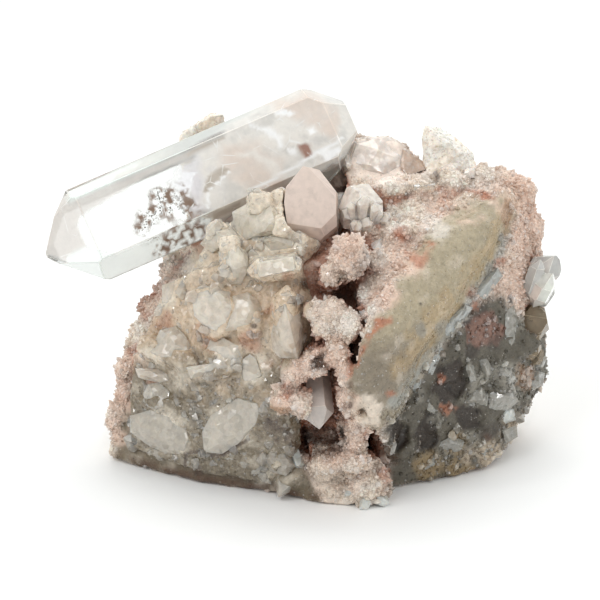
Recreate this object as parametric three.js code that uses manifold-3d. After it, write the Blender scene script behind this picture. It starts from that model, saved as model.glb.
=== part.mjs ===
// Quartz cluster on its host rock: one large clear quartz crystal, pointed at both ends, lies across
// a lump of pink drusy rock. A glassy crust of stubby crystals covers the left face, a rusty cleft
// full of knobs parts it from the right half, and a smooth cream ledge runs down that half.
//
// Millimetres, +Z up, +X to the right, +Y away from the side that shows best. Corners are given in
// the specimen's own frame, which has its foot at z = 0. The group's position then carries the
// origin to the middle of the bounding box.
import * as THREE from "three";
import { ConvexGeometry } from "three/addons/geometries/ConvexGeometry.js";
import { ConvexHull } from "three/addons/math/ConvexHull.js";
import { mergeVertices } from "three/addons/utils/BufferGeometryUtils.js";
import Module from "manifold-3d";

const wasm = await Module();
wasm.setup();

// ---- Driving dimensions -----------------------------------------------------------------------

const SEAT_GAP = 0.3; // clearance between a crystal and the socket it stands in
const MAIN_RADIUS = 10.5; // large clear crystal: axis to prism edge, if its six sides were even
const MAIN_FLATNESS = 0.6; // thickness from front to back, as a share of an even crystal's
const MAIN_LEFT_TIP = [-50.3, -2, 44.2];
const MAIN_RIGHT_TIP = [10.4, 14.6, 66.2];

// Quartz: the angle between an end face and the crystal's long axis.
const END_FACE_LEAN = THREE.MathUtils.degToRad(38.2);

const ROCK_HEART = [3, 8, 28]; // druse knobs stand out from here
const KNOB_CORNERS = 13;
const STALK_LENGTH = 14; // how far a knob's stalk runs back into the rock
const STALK_SHARE = 0.5; // thickness of the stalk, as a share of the knob's

const LEDGE_DEPTH = [2, 12, -5]; // from the ledge's face back into the rock

const POINT_COUNT = 90; // small pointed crystals scattered over the rock
const POINT_HEIGHT = { least: 1, most: 2.4 };
const POINT_ROOT = 0.3; // how deep their rims are sunk in the rock

const FOOT_CUT = 200; // side of the block that cuts the flat break under the rock
const FOOT_RELIEF = 0.5; // height of the break above the spots that carry the rock
const FOOT_SPOTS = [[-32, -4.8], [-26, 18.2], [37, 16.2], [14, -23.3], [1, 3.2]]; // their middles
const SPOT_RADII = [2.5, 6]; // of each spot where it touches, and where it meets the break
const SPOT_SIDES = 3;

// ---- Points, directions and chance ------------------------------------------------------------

const vec = (x, y, z) => new THREE.Vector3(x, y, z);
const points = (rows) => rows.map((row) => vec(...row));

// A repeatable random source, so that the rock comes out the same each time (mulberry32).
function dice(seed) {
  let state = seed;
  return () => {
    state = (state + 0x6d2b79f5) | 0;
    let mixed = Math.imul(state ^ (state >>> 15), 1 | state);
    mixed = (mixed + Math.imul(mixed ^ (mixed >>> 7), 61 | mixed)) ^ mixed;
    return ((mixed ^ (mixed >>> 14)) >>> 0) / 2 ** 32;
  };
}

const scatter = (roll) => vec(roll() - 0.5, roll() - 0.5, roll() - 0.5);

// ---- Convex shapes ----------------------------------------------------------------------------

// The corners of the space that lies behind every one of these planes.
function cornersBehind(planes) {
  const corners = [];
  const tryCorner = (p, q, r) => {
    const across = q.normal.clone().cross(r.normal);
    const spread = p.normal.dot(across);
    if (Math.abs(spread) < 1e-3) return;
    const corner = across
      .multiplyScalar(-p.constant)
      .addScaledVector(r.normal.clone().cross(p.normal), -q.constant)
      .addScaledVector(p.normal.clone().cross(q.normal), -r.constant)
      .divideScalar(spread);
    const kept = planes.every((plane) => plane.distanceToPoint(corner) < 1e-5);
    const known = corners.some((other) => other.distanceTo(corner) < 1e-3);
    if (kept && !known) corners.push(corner);
  };
  for (let a = 0; a < planes.length; a++) {
    for (let b = a + 1; b < planes.length; b++) {
      for (let c = b + 1; c < planes.length; c++) tryCorner(planes[a], planes[b], planes[c]);
    }
  }
  return corners;
}

// The face planes of the convex shape round these corners.
function planesRound(corners) {
  const planes = [];
  for (const { normal, constant } of new ConvexHull().setFromPoints(corners).faces) {
    const known = planes.some((plane) => {
      const parallel = plane.normal.dot(normal) > 1 - 1e-6;
      return parallel && Math.abs(plane.constant + constant) < 1e-3;
    });
    if (!known) planes.push(new THREE.Plane(normal.clone(), -constant));
  }
  return planes;
}

// The corners of the same shape with every face moved out by the seat gap.
function socketRound(corners) {
  const planes = planesRound(corners);
  for (const plane of planes) plane.constant -= SEAT_GAP;
  return cornersBehind(planes);
}

// ---- Solids: joining and cutting --------------------------------------------------------------

function solidOf(geometry) {
  const bare = geometry.clone();
  bare.deleteAttribute("normal");
  bare.deleteAttribute("uv");
  const merged = mergeVertices(bare, 1e-4);
  const vertProperties = merged.attributes.position.array;
  const triVerts = new Uint32Array(merged.index.array);
  return new wasm.Manifold(new wasm.Mesh({ numProp: 3, vertProperties, triVerts }));
}

// The triangles of the largest closed shell. It leaves out crumbs that a socket cuts loose and
// pockets sealed between knobs.
function largestShell({ vertProperties, triVerts }) {
  const leaders = Array.from({ length: vertProperties.length / 3 }, (_, i) => i);
  const leaderOf = (corner) => {
    let leader = corner;
    while (leaders[leader] !== leader) leader = leaders[leader];
    leaders[corner] = leader;
    return leader;
  };
  for (let i = 0; i < triVerts.length; i += 3) {
    const leader = leaderOf(triVerts[i]);
    leaders[leaderOf(triVerts[i + 1])] = leader;
    leaders[leaderOf(triVerts[i + 2])] = leader;
  }
  const shells = new Map();
  for (let i = 0; i < triVerts.length; i += 3) {
    const leader = leaderOf(triVerts[i]);
    if (!shells.has(leader)) shells.set(leader, []);
    shells.get(leader).push(...triVerts.subarray(i, i + 3));
  }
  return [...shells.values()].reduce((best, shell) => (shell.length > best.length ? shell : best));
}

function geometryOf(solid) {
  const mesh = solid.getMesh();
  const shared = new THREE.BufferGeometry();
  shared.setAttribute("position", new THREE.BufferAttribute(mesh.vertProperties, 3));
  shared.setIndex(largestShell(mesh));
  const faceted = shared.toNonIndexed();
  faceted.computeVertexNormals();
  return faceted;
}

const hull = (corners) => solidOf(new ConvexGeometry(corners));
const fuse = (solids) => solids.reduce((sum, solid) => sum.add(solid));

// The rock with a socket cut for each of these bodies.
const seat = (rock, bodies) => bodies.reduce((left, { socket }) => left.subtract(socket), rock);

// One convex body: its corners about its own middle, where it lies, and the socket it stands in.
function body(corners, position, turn = new THREE.Quaternion()) {
  const placed = (list) => list.map((corner) => corner.clone().applyQuaternion(turn).add(position));
  return {
    corners,
    position,
    turn,
    planes: planesRound(placed(corners)),
    solid: hull(placed(corners)),
    socket: hull(placed(socketRound(corners))),
  };
}

// ---- Quartz crystals --------------------------------------------------------------------------

// The corners of a six-sided crystal along +Z about its middle. `sides` scales each prism face's
// distance from the axis. `top` and `bottom` say how far beyond the tip each end face would meet
// the axis, in shares of the radius; an end without them is cut square.
function quartzCorners({ radius, length, sides, top, bottom }) {
  const apothem = radius * Math.cos(Math.PI / 6);
  const planes = [
    new THREE.Plane(vec(0, 0, 1), -length / 2),
    new THREE.Plane(vec(0, 0, -1), -length / 2),
  ];
  for (let i = 0; i < 6; i++) {
    const around = (i * Math.PI) / 3;
    const out = vec(Math.cos(around), Math.sin(around), 0);
    planes.push(new THREE.Plane(out, -apothem * sides[i]));
    for (const [end, beyond] of [[1, top], [-1, bottom]]) {
      if (!beyond) continue;
      const lean = out.clone().multiplyScalar(Math.cos(END_FACE_LEAN));
      lean.z = end * Math.sin(END_FACE_LEAN);
      const reach = (length / 2) * Math.sin(END_FACE_LEAN) + beyond[i] * radius;
      planes.push(new THREE.Plane(lean, -reach));
    }
  }
  return cornersBehind(planes);
}

const EVEN_SIDES = [1, 1, 1, 1, 1, 1];
const EVEN_END = [0, 0.1, 0.02, 0.12, 0, 0.1];
const BLUNT_END = [0.5, 0.3, 0.5, 0.4, 0.5, 0.3];
const TOWARDS_FRONT = [0, -0.927, 0.375];

// A quartz crystal from one end to the other, with its first prism face turned towards `face`.
function quartz({ from, to, radius, face = TOWARDS_FRONT, sides = EVEN_SIDES, top = EVEN_END, bottom }) {
  const [start, end, front] = points([from, to, face]);
  const z = end.clone().sub(start).normalize();
  const x = front.addScaledVector(z, -front.dot(z)).normalize();
  const frame = new THREE.Matrix4().makeBasis(x, z.clone().cross(x), z);
  const corners = quartzCorners({ radius, length: start.distanceTo(end), sides, top, bottom });
  const middle = start.lerp(end, 0.5);
  return body(corners, middle, new THREE.Quaternion().setFromRotationMatrix(frame));
}

// A shard, from its corners as they lie.
function shard(corners) {
  const middle = new THREE.Box3().setFromPoints(corners).getCenter(vec(0, 0, 0));
  return body(corners.map((corner) => corner.clone().sub(middle)), middle);
}

// A chip: its front outline, carried back along `depth` and widened by `spread` behind a bevel.
const BEVEL = 0.3; // share of the depth over which the front edge is bevelled

function chip(outline, depth, spread) {
  const front = points(outline);
  const back = vec(...depth);
  const middle = front.reduce((sum, p) => sum.add(p), vec(0, 0, 0)).divideScalar(front.length);
  const widened = (p, share) =>
    p.clone().sub(middle).multiplyScalar(spread).add(middle).addScaledVector(back, share);
  return shard(front.flatMap((p) => [p, widened(p, BEVEL), widened(p, 1)]));
}

// ---- Crystals that stand alone ----------------------------------------------------------------

const mainCrystal = quartz({
  from: MAIN_LEFT_TIP,
  to: MAIN_RIGHT_TIP,
  radius: MAIN_RADIUS,
  sides: [MAIN_FLATNESS, 0.82, 1.02, MAIN_FLATNESS, 0.88, 1.04],
  top: [0.14, 0.2, 0.12, 0.1, 0.3, 0.3],
  bottom: [-0.15, 0.05, 0.12, 0.2, 0.1, 0.2],
});

// Pale pink, with its broad end face to the front.
const roseCrystal = chip(
  [
    [-2.6, -9, 61.2], [0.6, -7, 64.6], [3.8, -6.5, 63.6], [7, -8, 59.7],
    [6.9, -11, 54.5], [3.7, -13, 52.7], [-2.3, -13, 55], [-2.9, -11, 59],
  ],
  [0.2, 7.2, -4.4],
  1.06,
);

const clearCrystal = quartz({ from: [12.2, 2, 50.6], to: [11.7, -10, 59], radius: 4.4 });

// The cream blade on the top right.
const creamCrystal = shard(
  points([
    [24.9, 15, 65.3], [24.3, 14, 61.9], [25.8, 10, 53.5], [36.5, 11, 53.5], [33, 12.5, 60.2],
    [27.9, 17, 64], [31.6, 17, 62.3], [34.6, 17, 59.7], [37.2, 17, 53.5], [25.5, 19, 53.5],
    [25.6, 19, 63.5],
  ]),
);

// The cream lump behind the large crystal.
const perchedCrystal = shard(
  points([
    [-25, 17, 59], [-24, 17, 54], [-24, 17, 62.6], [-20.8, 16, 65.4], [-17.4, 17, 67],
    [-15.2, 20, 66], [-14, 21, 54], [-19, 25, 54], [-18, 23.5, 65], [-23.6, 22.5, 61],
  ]),
);

// Two crystals on the right edge, one bright and clear and one smoky.
const edgeCrystal = quartz({
  from: [45.5, 11, 30.4],
  to: [51.4, 6.5, 40.6],
  radius: 3.2,
  top: [0.1, 0, 0.2, 0.05, 0, 0.1],
});
const smokyCrystal = quartz({
  from: [43, 9.6, 24],
  to: [49.6, 0.8, 29],
  radius: 3.5,
  top: [0, 0.3, 0.1, 0, 0.2, 0.05],
});

// The clear point that hangs in the cleft.
const cleftCrystal = quartz({ from: [2.4, -14.5, 26], to: [3.8, -27, 17.4], radius: 3.2 });

const LONE_CRYSTALS = {
  main_crystal: mainCrystal,
  rose_crystal: roseCrystal,
  clear_crystal: clearCrystal,
  cream_crystal: creamCrystal,
  perched_crystal: perchedCrystal,
  edge_crystal: edgeCrystal,
  smoky_crystal: smokyCrystal,
  cleft_crystal: cleftCrystal,
};

// ---- Crust on the left face: crystals grown together ------------------------------------------

const INTO_LEFT_FACE = [2.6, 3.6, -1.7];

const CRUST_SHEETS = [
  chip(
    [
      [-26.5, -1, 37.5], [-21, -7.5, 43], [-12, -12.5, 46.5], [-2, -15, 47.5], [0.4, -17, 39],
      [-1, -20, 31], [-12, -18, 29], [-22, -12, 28], [-31, -4.5, 28],
    ],
    INTO_LEFT_FACE,
    1.03,
  ),
  chip(
    [
      [-21.5, -4, 42], [-18, -3, 48], [-12, -4, 53.5], [-5, -4, 58.6], [0, -8, 59],
      [1, -13, 50], [-3, -15.5, 45], [-12, -12.6, 45], [-19, -8.4, 42],
    ],
    INTO_LEFT_FACE,
    1.03,
  ),
  chip(
    [
      [-33.4, -4.5, 23.5], [-34.6, -8.2, 5.4], [-20, -16.6, 3.6], [-7, -21, 3.4],
      [-1.6, -23.4, 12], [-5.4, -22.6, 22], [-2.4, -20.5, 30], [-20, -13.5, 29], [-29.6, -6.5, 27],
    ],
    INTO_LEFT_FACE,
    1.03,
  ),
  // The large clear patch low on the face.
  chip(
    [
      [-33, -8.4, 16], [-27, -12.6, 17.6], [-13, -18.4, 18.6], [-8, -21.8, 17.6],
      [-9, -21.8, 12.4], [-15, -19.4, 7.6], [-24, -15.8, 7],
    ],
    [2.4, 4.4, -1.2],
    1.1,
  ),
];

const CRUST_CRYSTALS = [
  // The one pointed at both ends that lies across the top of the face.
  quartz({
    from: [-10.4, -16.8, 46.4],
    to: [0.4, -17.4, 47.7],
    radius: 2.5,
    top: BLUNT_END,
    bottom: EVEN_END,
  }),
  // The long one that stands at the cleft's left side.
  quartz({ from: [-3.4, -17, 25], to: [-2.6, -20.6, 45.2], radius: 3.1 }),
  quartz({ from: [-14, -11, 51.4], to: [-12.8, -16.2, 43.6], radius: 2.4 }),
  quartz({ from: [-15.5, -4, 48], to: [-17, -8.6, 53], radius: 2.8 }),
  quartz({ from: [-6, -4, 53], to: [-9.4, -8.5, 59.4], radius: 3.2 }),
  quartz({ from: [-2, -8, 51], to: [-4.6, -14, 56], radius: 2.6 }),
  quartz({ from: [-31, -7, 27], to: [-20, -15.6, 26], radius: 2.8 }),
  quartz({ from: [-27, -8, 15], to: [-29.6, -13, 17], radius: 3 }),
  quartz({ from: [-3, -18, 8], to: [-4.6, -25, 8.6], radius: 2.6 }),
];

// Clear flat crystals that lie on the face: two that grew side by side, and a smaller one below.
const CRUST_TABLETS = [
  [
    [-22.4, -12.6, 37.4], [-20.6, -13.4, 41], [-16.4, -15.4, 42.2], [-13.6, -16.6, 40],
    [-14, -17.8, 35.2], [-17, -17, 32.2], [-20.4, -14.8, 33.6],
  ],
  [
    [-13.8, -16.8, 39.6], [-10.6, -17.4, 40.4], [-8, -18.6, 38.2], [-9, -19.6, 34.2],
    [-12.2, -18.6, 32.8],
  ],
  [[-19.4, -16.2, 29.6], [-12.4, -19, 31.6], [-12.2, -20.2, 27], [-18, -18.4, 24.6]],
].map((outline) => chip(outline, INTO_LEFT_FACE, 1.15));

const CRUST = [...CRUST_SHEETS, ...CRUST_CRYSTALS, ...CRUST_TABLETS];

// ---- Host rock: its main blocks ---------------------------------------------------------------

// The part that the crust grew on.
const LEFT_BLOCK = points([
  [-38.5, -4, 0], [-33, -8, 0], [-20, -15, 0], [-8, -19, 0], [2, -22, 0], [8, -16, 0],
  [4, 20, 0], [-28, 20, 0], [-36, 10, 0], [-38, -2, 7], [-37.2, 0, 15], [-35.9, 2, 22],
  [-22, -11, 22], [-6, -19, 22], [0, -21, 12], [6, -14, 30], [-31, 6, 28.6], [-27.7, 8, 33.6],
  [-22, 8, 42], [-14, -9, 43.5], [-3, -13, 45], [6, -10, 47], [6, 14, 50], [-14, 18, 46],
  [-28, 18, 32],
]);

const BACK_BLOCK = points([
  [-26, 18, 0], [-5, 33, 0], [26, 30, 0], [30, 10, 0], [-10, 5, 0], [-26, 22, 26],
  [-10, 34, 26], [20, 33, 28], [-22, 18, 54], [-16, 24, 57], [0, 26, 60], [10, 20, 62],
  [20, 20, 61], [26, 24, 54], [20, 31, 46], [-8, 31, 46],
]);

// The right half, with the grey translucent face on its front.
const RIGHT_BLOCK = points([
  [18, -18, 0], [20, -15, 0], [37.6, -9, 0], [42, 4, 0], [39, 18, 0], [30, 29, 0], [10, 20, 0],
  [50.4, 8, 14], [49.5, 14, 36], [49, 18, 40], [47.3, 20, 48.6], [42.4, 22, 53.3],
  [28, 24, 54], [30, 29, 30], [43, 5, 50], [36, -3, 44], [28, -13, 34], [16, -21, 22],
  [44, -2, 24], [12, -5, 44], [10, -18, 28],
]);

// The drusy slope between the cleft and the ledge.
const SLOPE_BLOCK = points([
  [9, 4, 53], [10, -8, 46], [12, -16, 42], [13, -24, 39], [19.4, -18, 46.5],
  [29.4, -7, 51.5], [40, 5, 55.5], [40, 18, 54.5], [20, 16, 58], [10, 12, 58], [10, 8, 30],
  [30, 10, 30], [14, -22, 25],
]);

// The pink mass behind the large crystal's right end.
const PEAK_BLOCK = points([
  [9.6, 10, 60], [11, 14, 63.5], [15.2, 14, 63], [20, 14, 62.4], [21.4, 14, 59.4],
  [20, 7, 53], [12, 6, 52], [9.4, 7, 55], [12, 20, 56], [22, 20, 56],
]);

// The back wall of the cleft.
const CLEFT_BLOCK = points([
  [-4, -16, 0], [12, -16, 0], [12, -9, 46], [-3, -7, 46], [-3, 10, 0], [12, 10, 48],
  [-3, 10, 48],
]);

const FOOT_BLOCK = points([
  [-4, -21, 0], [3, -24.5, 0], [8, -22.5, 0], [15.3, -26.3, 0], [18.5, -19, 0],
  [16.6, -25.6, 9], [9, -21.5, 7], [2, -22, 5], [-4, -20, 6], [8, -12, 12],
]);

const BLOCKS = [BACK_BLOCK, RIGHT_BLOCK, SLOPE_BLOCK, PEAK_BLOCK, CLEFT_BLOCK, FOOT_BLOCK];

// ---- Cream ledge ------------------------------------------------------------------------------

// Cross-sections down its run, each by its upper edge, its crest and its lower edge.
const LEDGE_SECTIONS = [
  [[40.6, 3, 56.3], [41.8, 3, 54.4], [42.6, 5, 52]],
  [[29.4, -8, 52], [33.4, -9, 49.6], [36.5, -6, 45.4]],
  [[19.4, -19, 47.1], [24.2, -20.5, 42.8], [27.9, -18, 36.9]],
  [[13.9, -25, 42.7], [18.6, -26.8, 37.6], [22.3, -24, 31.4]],
  [[11.1, -29.5, 35.4], [15.8, -30.6, 30.8], [19.7, -27, 25.4]],
  [[10.2, -31, 28.5], [14.6, -31, 23.6], [18.2, -27, 17.8]],
  [[14, -29, 19], [16, -29, 16], [17.6, -26.5, 13]],
];

function ledge() {
  const depth = vec(...LEDGE_DEPTH);
  const sections = LEDGE_SECTIONS.map((rows) =>
    points(rows).flatMap((corner) => [corner, corner.clone().add(depth)]),
  );
  return fuse(sections.slice(1).map((section, i) => hull([...sections[i], ...section])));
}

// ---- Druse knobs and broken lumps -------------------------------------------------------------

// Each row is a knob's middle and its half-sizes along X, Y and Z.
const CLEFT_KNOBS = [
  [10, -18.5, 50.6, 3.6, 3.4, 5.2], [6.2, -18, 46.4, 2.4, 3, 2.6],
  [2.6, -20, 39.6, 2.8, 3, 2.4], [6.6, -21, 40.2, 2.6, 3, 2.6], [5.2, -21, 36.4, 3, 3, 2.8],
  [8.6, -21.5, 35.4, 2.4, 3.4, 3],
  [-1.4, -23.5, 27.6, 3.2, 3.6, 3], [3.2, -24.5, 30, 3.2, 3.4, 2.8], [7.4, -25, 32.2, 3, 3.4, 2.8],
  [-3.6, -25, 22.4, 3, 3.6, 2.8], [0.4, -25, 21.6, 2.8, 3.6, 2.8],
  [9.8, -24, 38, 2.4, 3.6, 3.2], [9.2, -27, 29, 2.2, 3.6, 3], [9.8, -26, 23.6, 2.6, 4, 3.8],
  [11.8, -26, 18.4, 2.6, 4, 2.8], [10.6, -24.6, 14, 2.6, 3.4, 2.4],
];
const FOOT_KNOBS = [
  [-2, -22, 5, 3.4, 3, 3], [12.6, -25.4, 4.6, 3.4, 2.8, 3.4],
  [5, -25, 9.2, 3.4, 3, 2.4], [10, -25.4, 10, 3.6, 3, 2.4],
];
const TOP_KNOBS = [
  [18, 3, 56.6, 4.4, 3.6, 2.6], [24.6, 4, 56.8, 3.4, 3.4, 2.4], [30.4, 6, 57, 3.6, 3, 2.6],
  [36.6, 9, 56.6, 3.4, 3.4, 2.8], [13.4, -6, 51.6, 3.4, 3.2, 2.8], [19.4, -8, 51.6, 3.8, 3, 2.2],
  [15.4, -14, 47.6, 3, 3, 2.4], [45, 16, 51, 3, 3.6, 3.2], [47.4, 12, 44.6, 2.4, 3.6, 3.6],
];
const LEFT_EDGE_KNOBS = [
  [-35.6, -0.6, 19, 2, 3, 3], [-37.4, -2.4, 9, 2, 3, 3.6], [-30, 5, 29.6, 2.4, 3.2, 2.8],
  [-25.4, 7, 37.4, 2.4, 3.4, 3.2], [-19.6, 5, 43.4, 2.6, 3, 2.4],
];
const GREY_FACE_LUMPS = [
  [30, -10.4, 27, 4, 3, 4], [38, -1.6, 32, 4, 3, 5], [25, -14, 13, 4, 3, 4],
  [34, -7.6, 9, 5, 3, 4], [44, 3, 13, 4, 3, 5],
];
const BACK_LUMPS = [
  [-22, 21, 20, 7, 7, 10], [-8, 31, 12, 10, 5, 9], [8, 32, 30, 9, 5, 9], [22, 29, 15, 9, 5, 9],
  [33, 24, 34, 8, 6, 9], [-14, 28, 42, 7, 5, 8], [1, 29, 51, 8, 4, 5], [41, 16, 12, 6, 6, 8],
  [44, 17, 31, 5, 5, 7], [-31, 12, 10, 6, 6, 9], [-27, 15, 25, 5, 6, 6], [28, 23, 50, 7, 5, 5],
];
const KNOBS = [
  ...CLEFT_KNOBS, ...FOOT_KNOBS, ...TOP_KNOBS, ...LEFT_EDGE_KNOBS, ...GREY_FACE_LUMPS, ...BACK_LUMPS,
];

// A rounded knob with flat facets, turned its own way by the seed, on a stalk that runs back into
// the rock. Its corners are spread evenly over an ellipsoid by the golden turn.
function knob([x, y, z, rx, ry, rz], seed) {
  const roll = dice(seed);
  const goldenTurn = Math.PI * (3 - Math.sqrt(5));
  const start = roll() * Math.PI * 2;
  const middle = vec(x, y, z);
  const corners = [];
  for (let i = 0; i < KNOB_CORNERS; i++) {
    const up = 1 - (2 * (i + 0.5)) / KNOB_CORNERS;
    const round = Math.sqrt(1 - up * up);
    const around = start + i * goldenTurn;
    const corner = vec(Math.cos(around) * round * rx, Math.sin(around) * round * ry, up * rz);
    corners.push(corner.multiplyScalar(0.88 + 0.24 * roll()).add(middle));
  }
  const inwards = vec(...ROCK_HEART).sub(middle).normalize();
  const root = middle.addScaledVector(inwards, STALK_LENGTH);
  for (const side of [-STALK_SHARE, STALK_SHARE]) {
    corners.push(root.clone().add(vec(side * rx, 0, 0)));
    corners.push(root.clone().add(vec(0, side * ry, 0)));
    corners.push(root.clone().add(vec(0, 0, side * rz)));
  }
  return hull(corners);
}

// ---- Beds of stubby crystals on the rock ------------------------------------------------------

// `across` and `up` span each bed from its corner, and `radius` is its largest crystals'.
const BEDS = {
  greyFace: { corner: [19, -20, 8], across: [24, 17, 3], up: [8, 6, 22], count: 18, radius: 3.4, seed: 11 },
  foot: { corner: [13, -25.4, 2], across: [5, 2, -1], up: [-1, 1, 4], count: 4, radius: 1.6, seed: 5 },
  back: { corner: [24, 31, 6], across: [-38, 0, 0], up: [2, 0, 30], count: 8, radius: 3.6, seed: 23 },
};
const BED_LEAN = 0.9; // how far their crystals lean, against 1 for straight out

function crystalBed({ corner, across, up, count, radius, seed }) {
  const roll = dice(seed);
  const [start, right, high] = points([corner, across, up]);
  const out = right.clone().cross(high).normalize();
  const crystals = [];
  for (let i = 0; i < count; i++) {
    const root = start.clone().addScaledVector(right, roll()).addScaledVector(high, roll());
    const size = radius * (0.5 + 0.5 * roll());
    const lean = out.clone().addScaledVector(scatter(roll), BED_LEAN).normalize();
    const tip = root.clone().addScaledVector(lean, size * (0.5 + 0.5 * roll()));
    const heel = root.addScaledVector(lean, -2 * size);
    const face = [roll(), roll(), 1];
    crystals.push(quartz({ from: heel.toArray(), to: tip.toArray(), radius: size, face }).solid);
  }
  return crystals;
}

// ---- Small points scattered over the rock -----------------------------------------------------

const LOWEST_POINT = 2; // none roots lower than this
const STEEPEST_UNDERSIDE = -0.5; // none hangs from an underside steeper than this

// A six-sided point of height `tall` on a surface, leaning a little at random.
function point(root, normal, tall, roll) {
  const axis = normal.clone().add(scatter(roll)).normalize();
  const side = scatter(roll).cross(axis).normalize();
  const wide = tall * (0.6 + 0.3 * roll());
  const corners = [root.clone().addScaledVector(axis, tall)];
  for (let i = 0; i < 6; i++) {
    const rim = side.clone().applyAxisAngle(axis, (i * Math.PI) / 3).multiplyScalar(wide);
    corners.push(rim.add(root).addScaledVector(axis, -POINT_ROOT));
  }
  return hull(corners);
}

// Points on a rock's faces, spread by area, clear of the bodies that stand on it.
function scatterPoints(rock, bodies) {
  const roll = dice(7);
  const position = geometryOf(rock).attributes.position;
  const face = new THREE.Triangle();
  const areaUpTo = [];
  let area = 0;
  for (let i = 0; i < position.count; i += 3) {
    area += face.setFromAttributeAndIndices(position, i, i + 1, i + 2).getArea();
    areaUpTo.push(area);
  }
  const grown = [];
  while (grown.length < POINT_COUNT) {
    const pick = roll() * area;
    const first = 3 * areaUpTo.findIndex((sum) => sum >= pick);
    face.setFromAttributeAndIndices(position, first, first + 1, first + 2);
    const [s, t] = [Math.sqrt(roll()), roll()];
    const root = face.a.clone().multiplyScalar(1 - s);
    root.addScaledVector(face.b, s * (1 - t)).addScaledVector(face.c, s * t);
    const normal = face.getNormal(vec(0, 0, 0));
    const tall = THREE.MathUtils.lerp(POINT_HEIGHT.least, POINT_HEIGHT.most, roll() ** 2);
    const covered = bodies.some(({ planes }) =>
      planes.every((plane) => plane.distanceToPoint(root) < tall),
    );
    if (covered || root.z < LOWEST_POINT || normal.z < STEEPEST_UNDERSIDE) continue;
    grown.push(point(root, normal, tall, roll));
  }
  return grown;
}

// ---- The two grown pieces ---------------------------------------------------------------------

const loneCrystals = Object.values(LONE_CRYSTALS);

function crystalCrust() {
  const leftBlockSocket = hull(socketRound(LEFT_BLOCK));
  const whole = fuse(CRUST.map(({ solid }) => solid)).subtract(leftBlockSocket);
  return seat(whole, loneCrystals);
}

// A low spot of the break that carries the rock: it widens from the floor up into the rock.
function footSpot([x, y]) {
  const [touching, meeting] = SPOT_RADII;
  const ring = (radius, z) =>
    Array.from({ length: SPOT_SIDES }, (_, i) => {
      const turn = (2 * Math.PI * i) / SPOT_SIDES;
      return vec(x + radius * Math.cos(turn), y + radius * Math.sin(turn), z);
    });
  return [...ring(touching, 0), ...ring(2 * meeting - touching, 2 * FOOT_RELIEF)];
}

function matrix() {
  const leftBlock = hull(LEFT_BLOCK);
  const rough = [...BLOCKS.map(hull), ...KNOBS.map((row, i) => knob(row, i + 1))];
  const small = scatterPoints(fuse([leftBlock, ...rough]), [...CRUST, ...loneCrystals]);
  const beds = Object.values(BEDS).flatMap(crystalBed);
  const beyondCrust = seat(fuse([...rough, ...beds, ...small, ledge()]), CRUST);
  const underfoot = new THREE.BoxGeometry(FOOT_CUT, FOOT_CUT, FOOT_CUT);
  underfoot.translate(0, 0, FOOT_RELIEF - FOOT_CUT / 2);
  const spots = fuse(FOOT_SPOTS.map((middle) => hull(footSpot(middle))));
  return seat(beyondCrust.add(leftBlock), loneCrystals).subtract(solidOf(underfoot).subtract(spots));
}

// ---- Finishes and the scene -------------------------------------------------------------------

const FINISHES = {
  matrix: { color: 0xd9b5a4, roughness: 0.85 },
  crystal_crust: { color: 0xd8ccb8, roughness: 0.25 },
  main_crystal: { color: 0xeef1ee, roughness: 0.05 },
  rose_crystal: { color: 0xe6cfc6, roughness: 0.15 },
  clear_crystal: { color: 0xd9d6cf, roughness: 0.08 },
  cream_crystal: { color: 0xe9d6bd, roughness: 0.6 },
  perched_crystal: { color: 0xeaded0, roughness: 0.5 },
  edge_crystal: { color: 0xd5dad6, roughness: 0.05 },
  smoky_crystal: { color: 0x968770, roughness: 0.15 },
  cleft_crystal: { color: 0xdac9c0, roughness: 0.08 },
};

function piece(name, geometry) {
  const mesh = new THREE.Mesh(geometry, new THREE.MeshStandardMaterial(FINISHES[name]));
  mesh.name = name;
  return mesh;
}

const cluster = new THREE.Group();
cluster.add(piece("matrix", geometryOf(matrix())));
cluster.add(piece("crystal_crust", geometryOf(crystalCrust())));
for (const [name, { corners, position, turn }] of Object.entries(LONE_CRYSTALS)) {
  const crystal = piece(name, new ConvexGeometry(corners));
  crystal.position.copy(position);
  crystal.quaternion.copy(turn);
  cluster.add(crystal);
}

const box = new THREE.Box3().setFromObject(cluster, true);
const middle = box.getCenter(vec(0, 0, 0));
cluster.position.set(-middle.x, -middle.y, -box.min.z);

export default cluster;
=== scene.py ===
"""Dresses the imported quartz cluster: drusy host rock, glassy crust, and the crystals that stand on it.

Laid out as an add-on and run as a script. Sizes are in metres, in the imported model's frame: +X to the
right, +Y away from the side that shows best, +Z up. Lengths in millimetres are written 3.5 * MM.
"""

import itertools
import math

import bmesh
import bpy
import numpy as np
from bpy.props import FloatProperty, FloatVectorProperty, PointerProperty
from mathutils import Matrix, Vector
from mathutils.bvhtree import BVHTree


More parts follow.
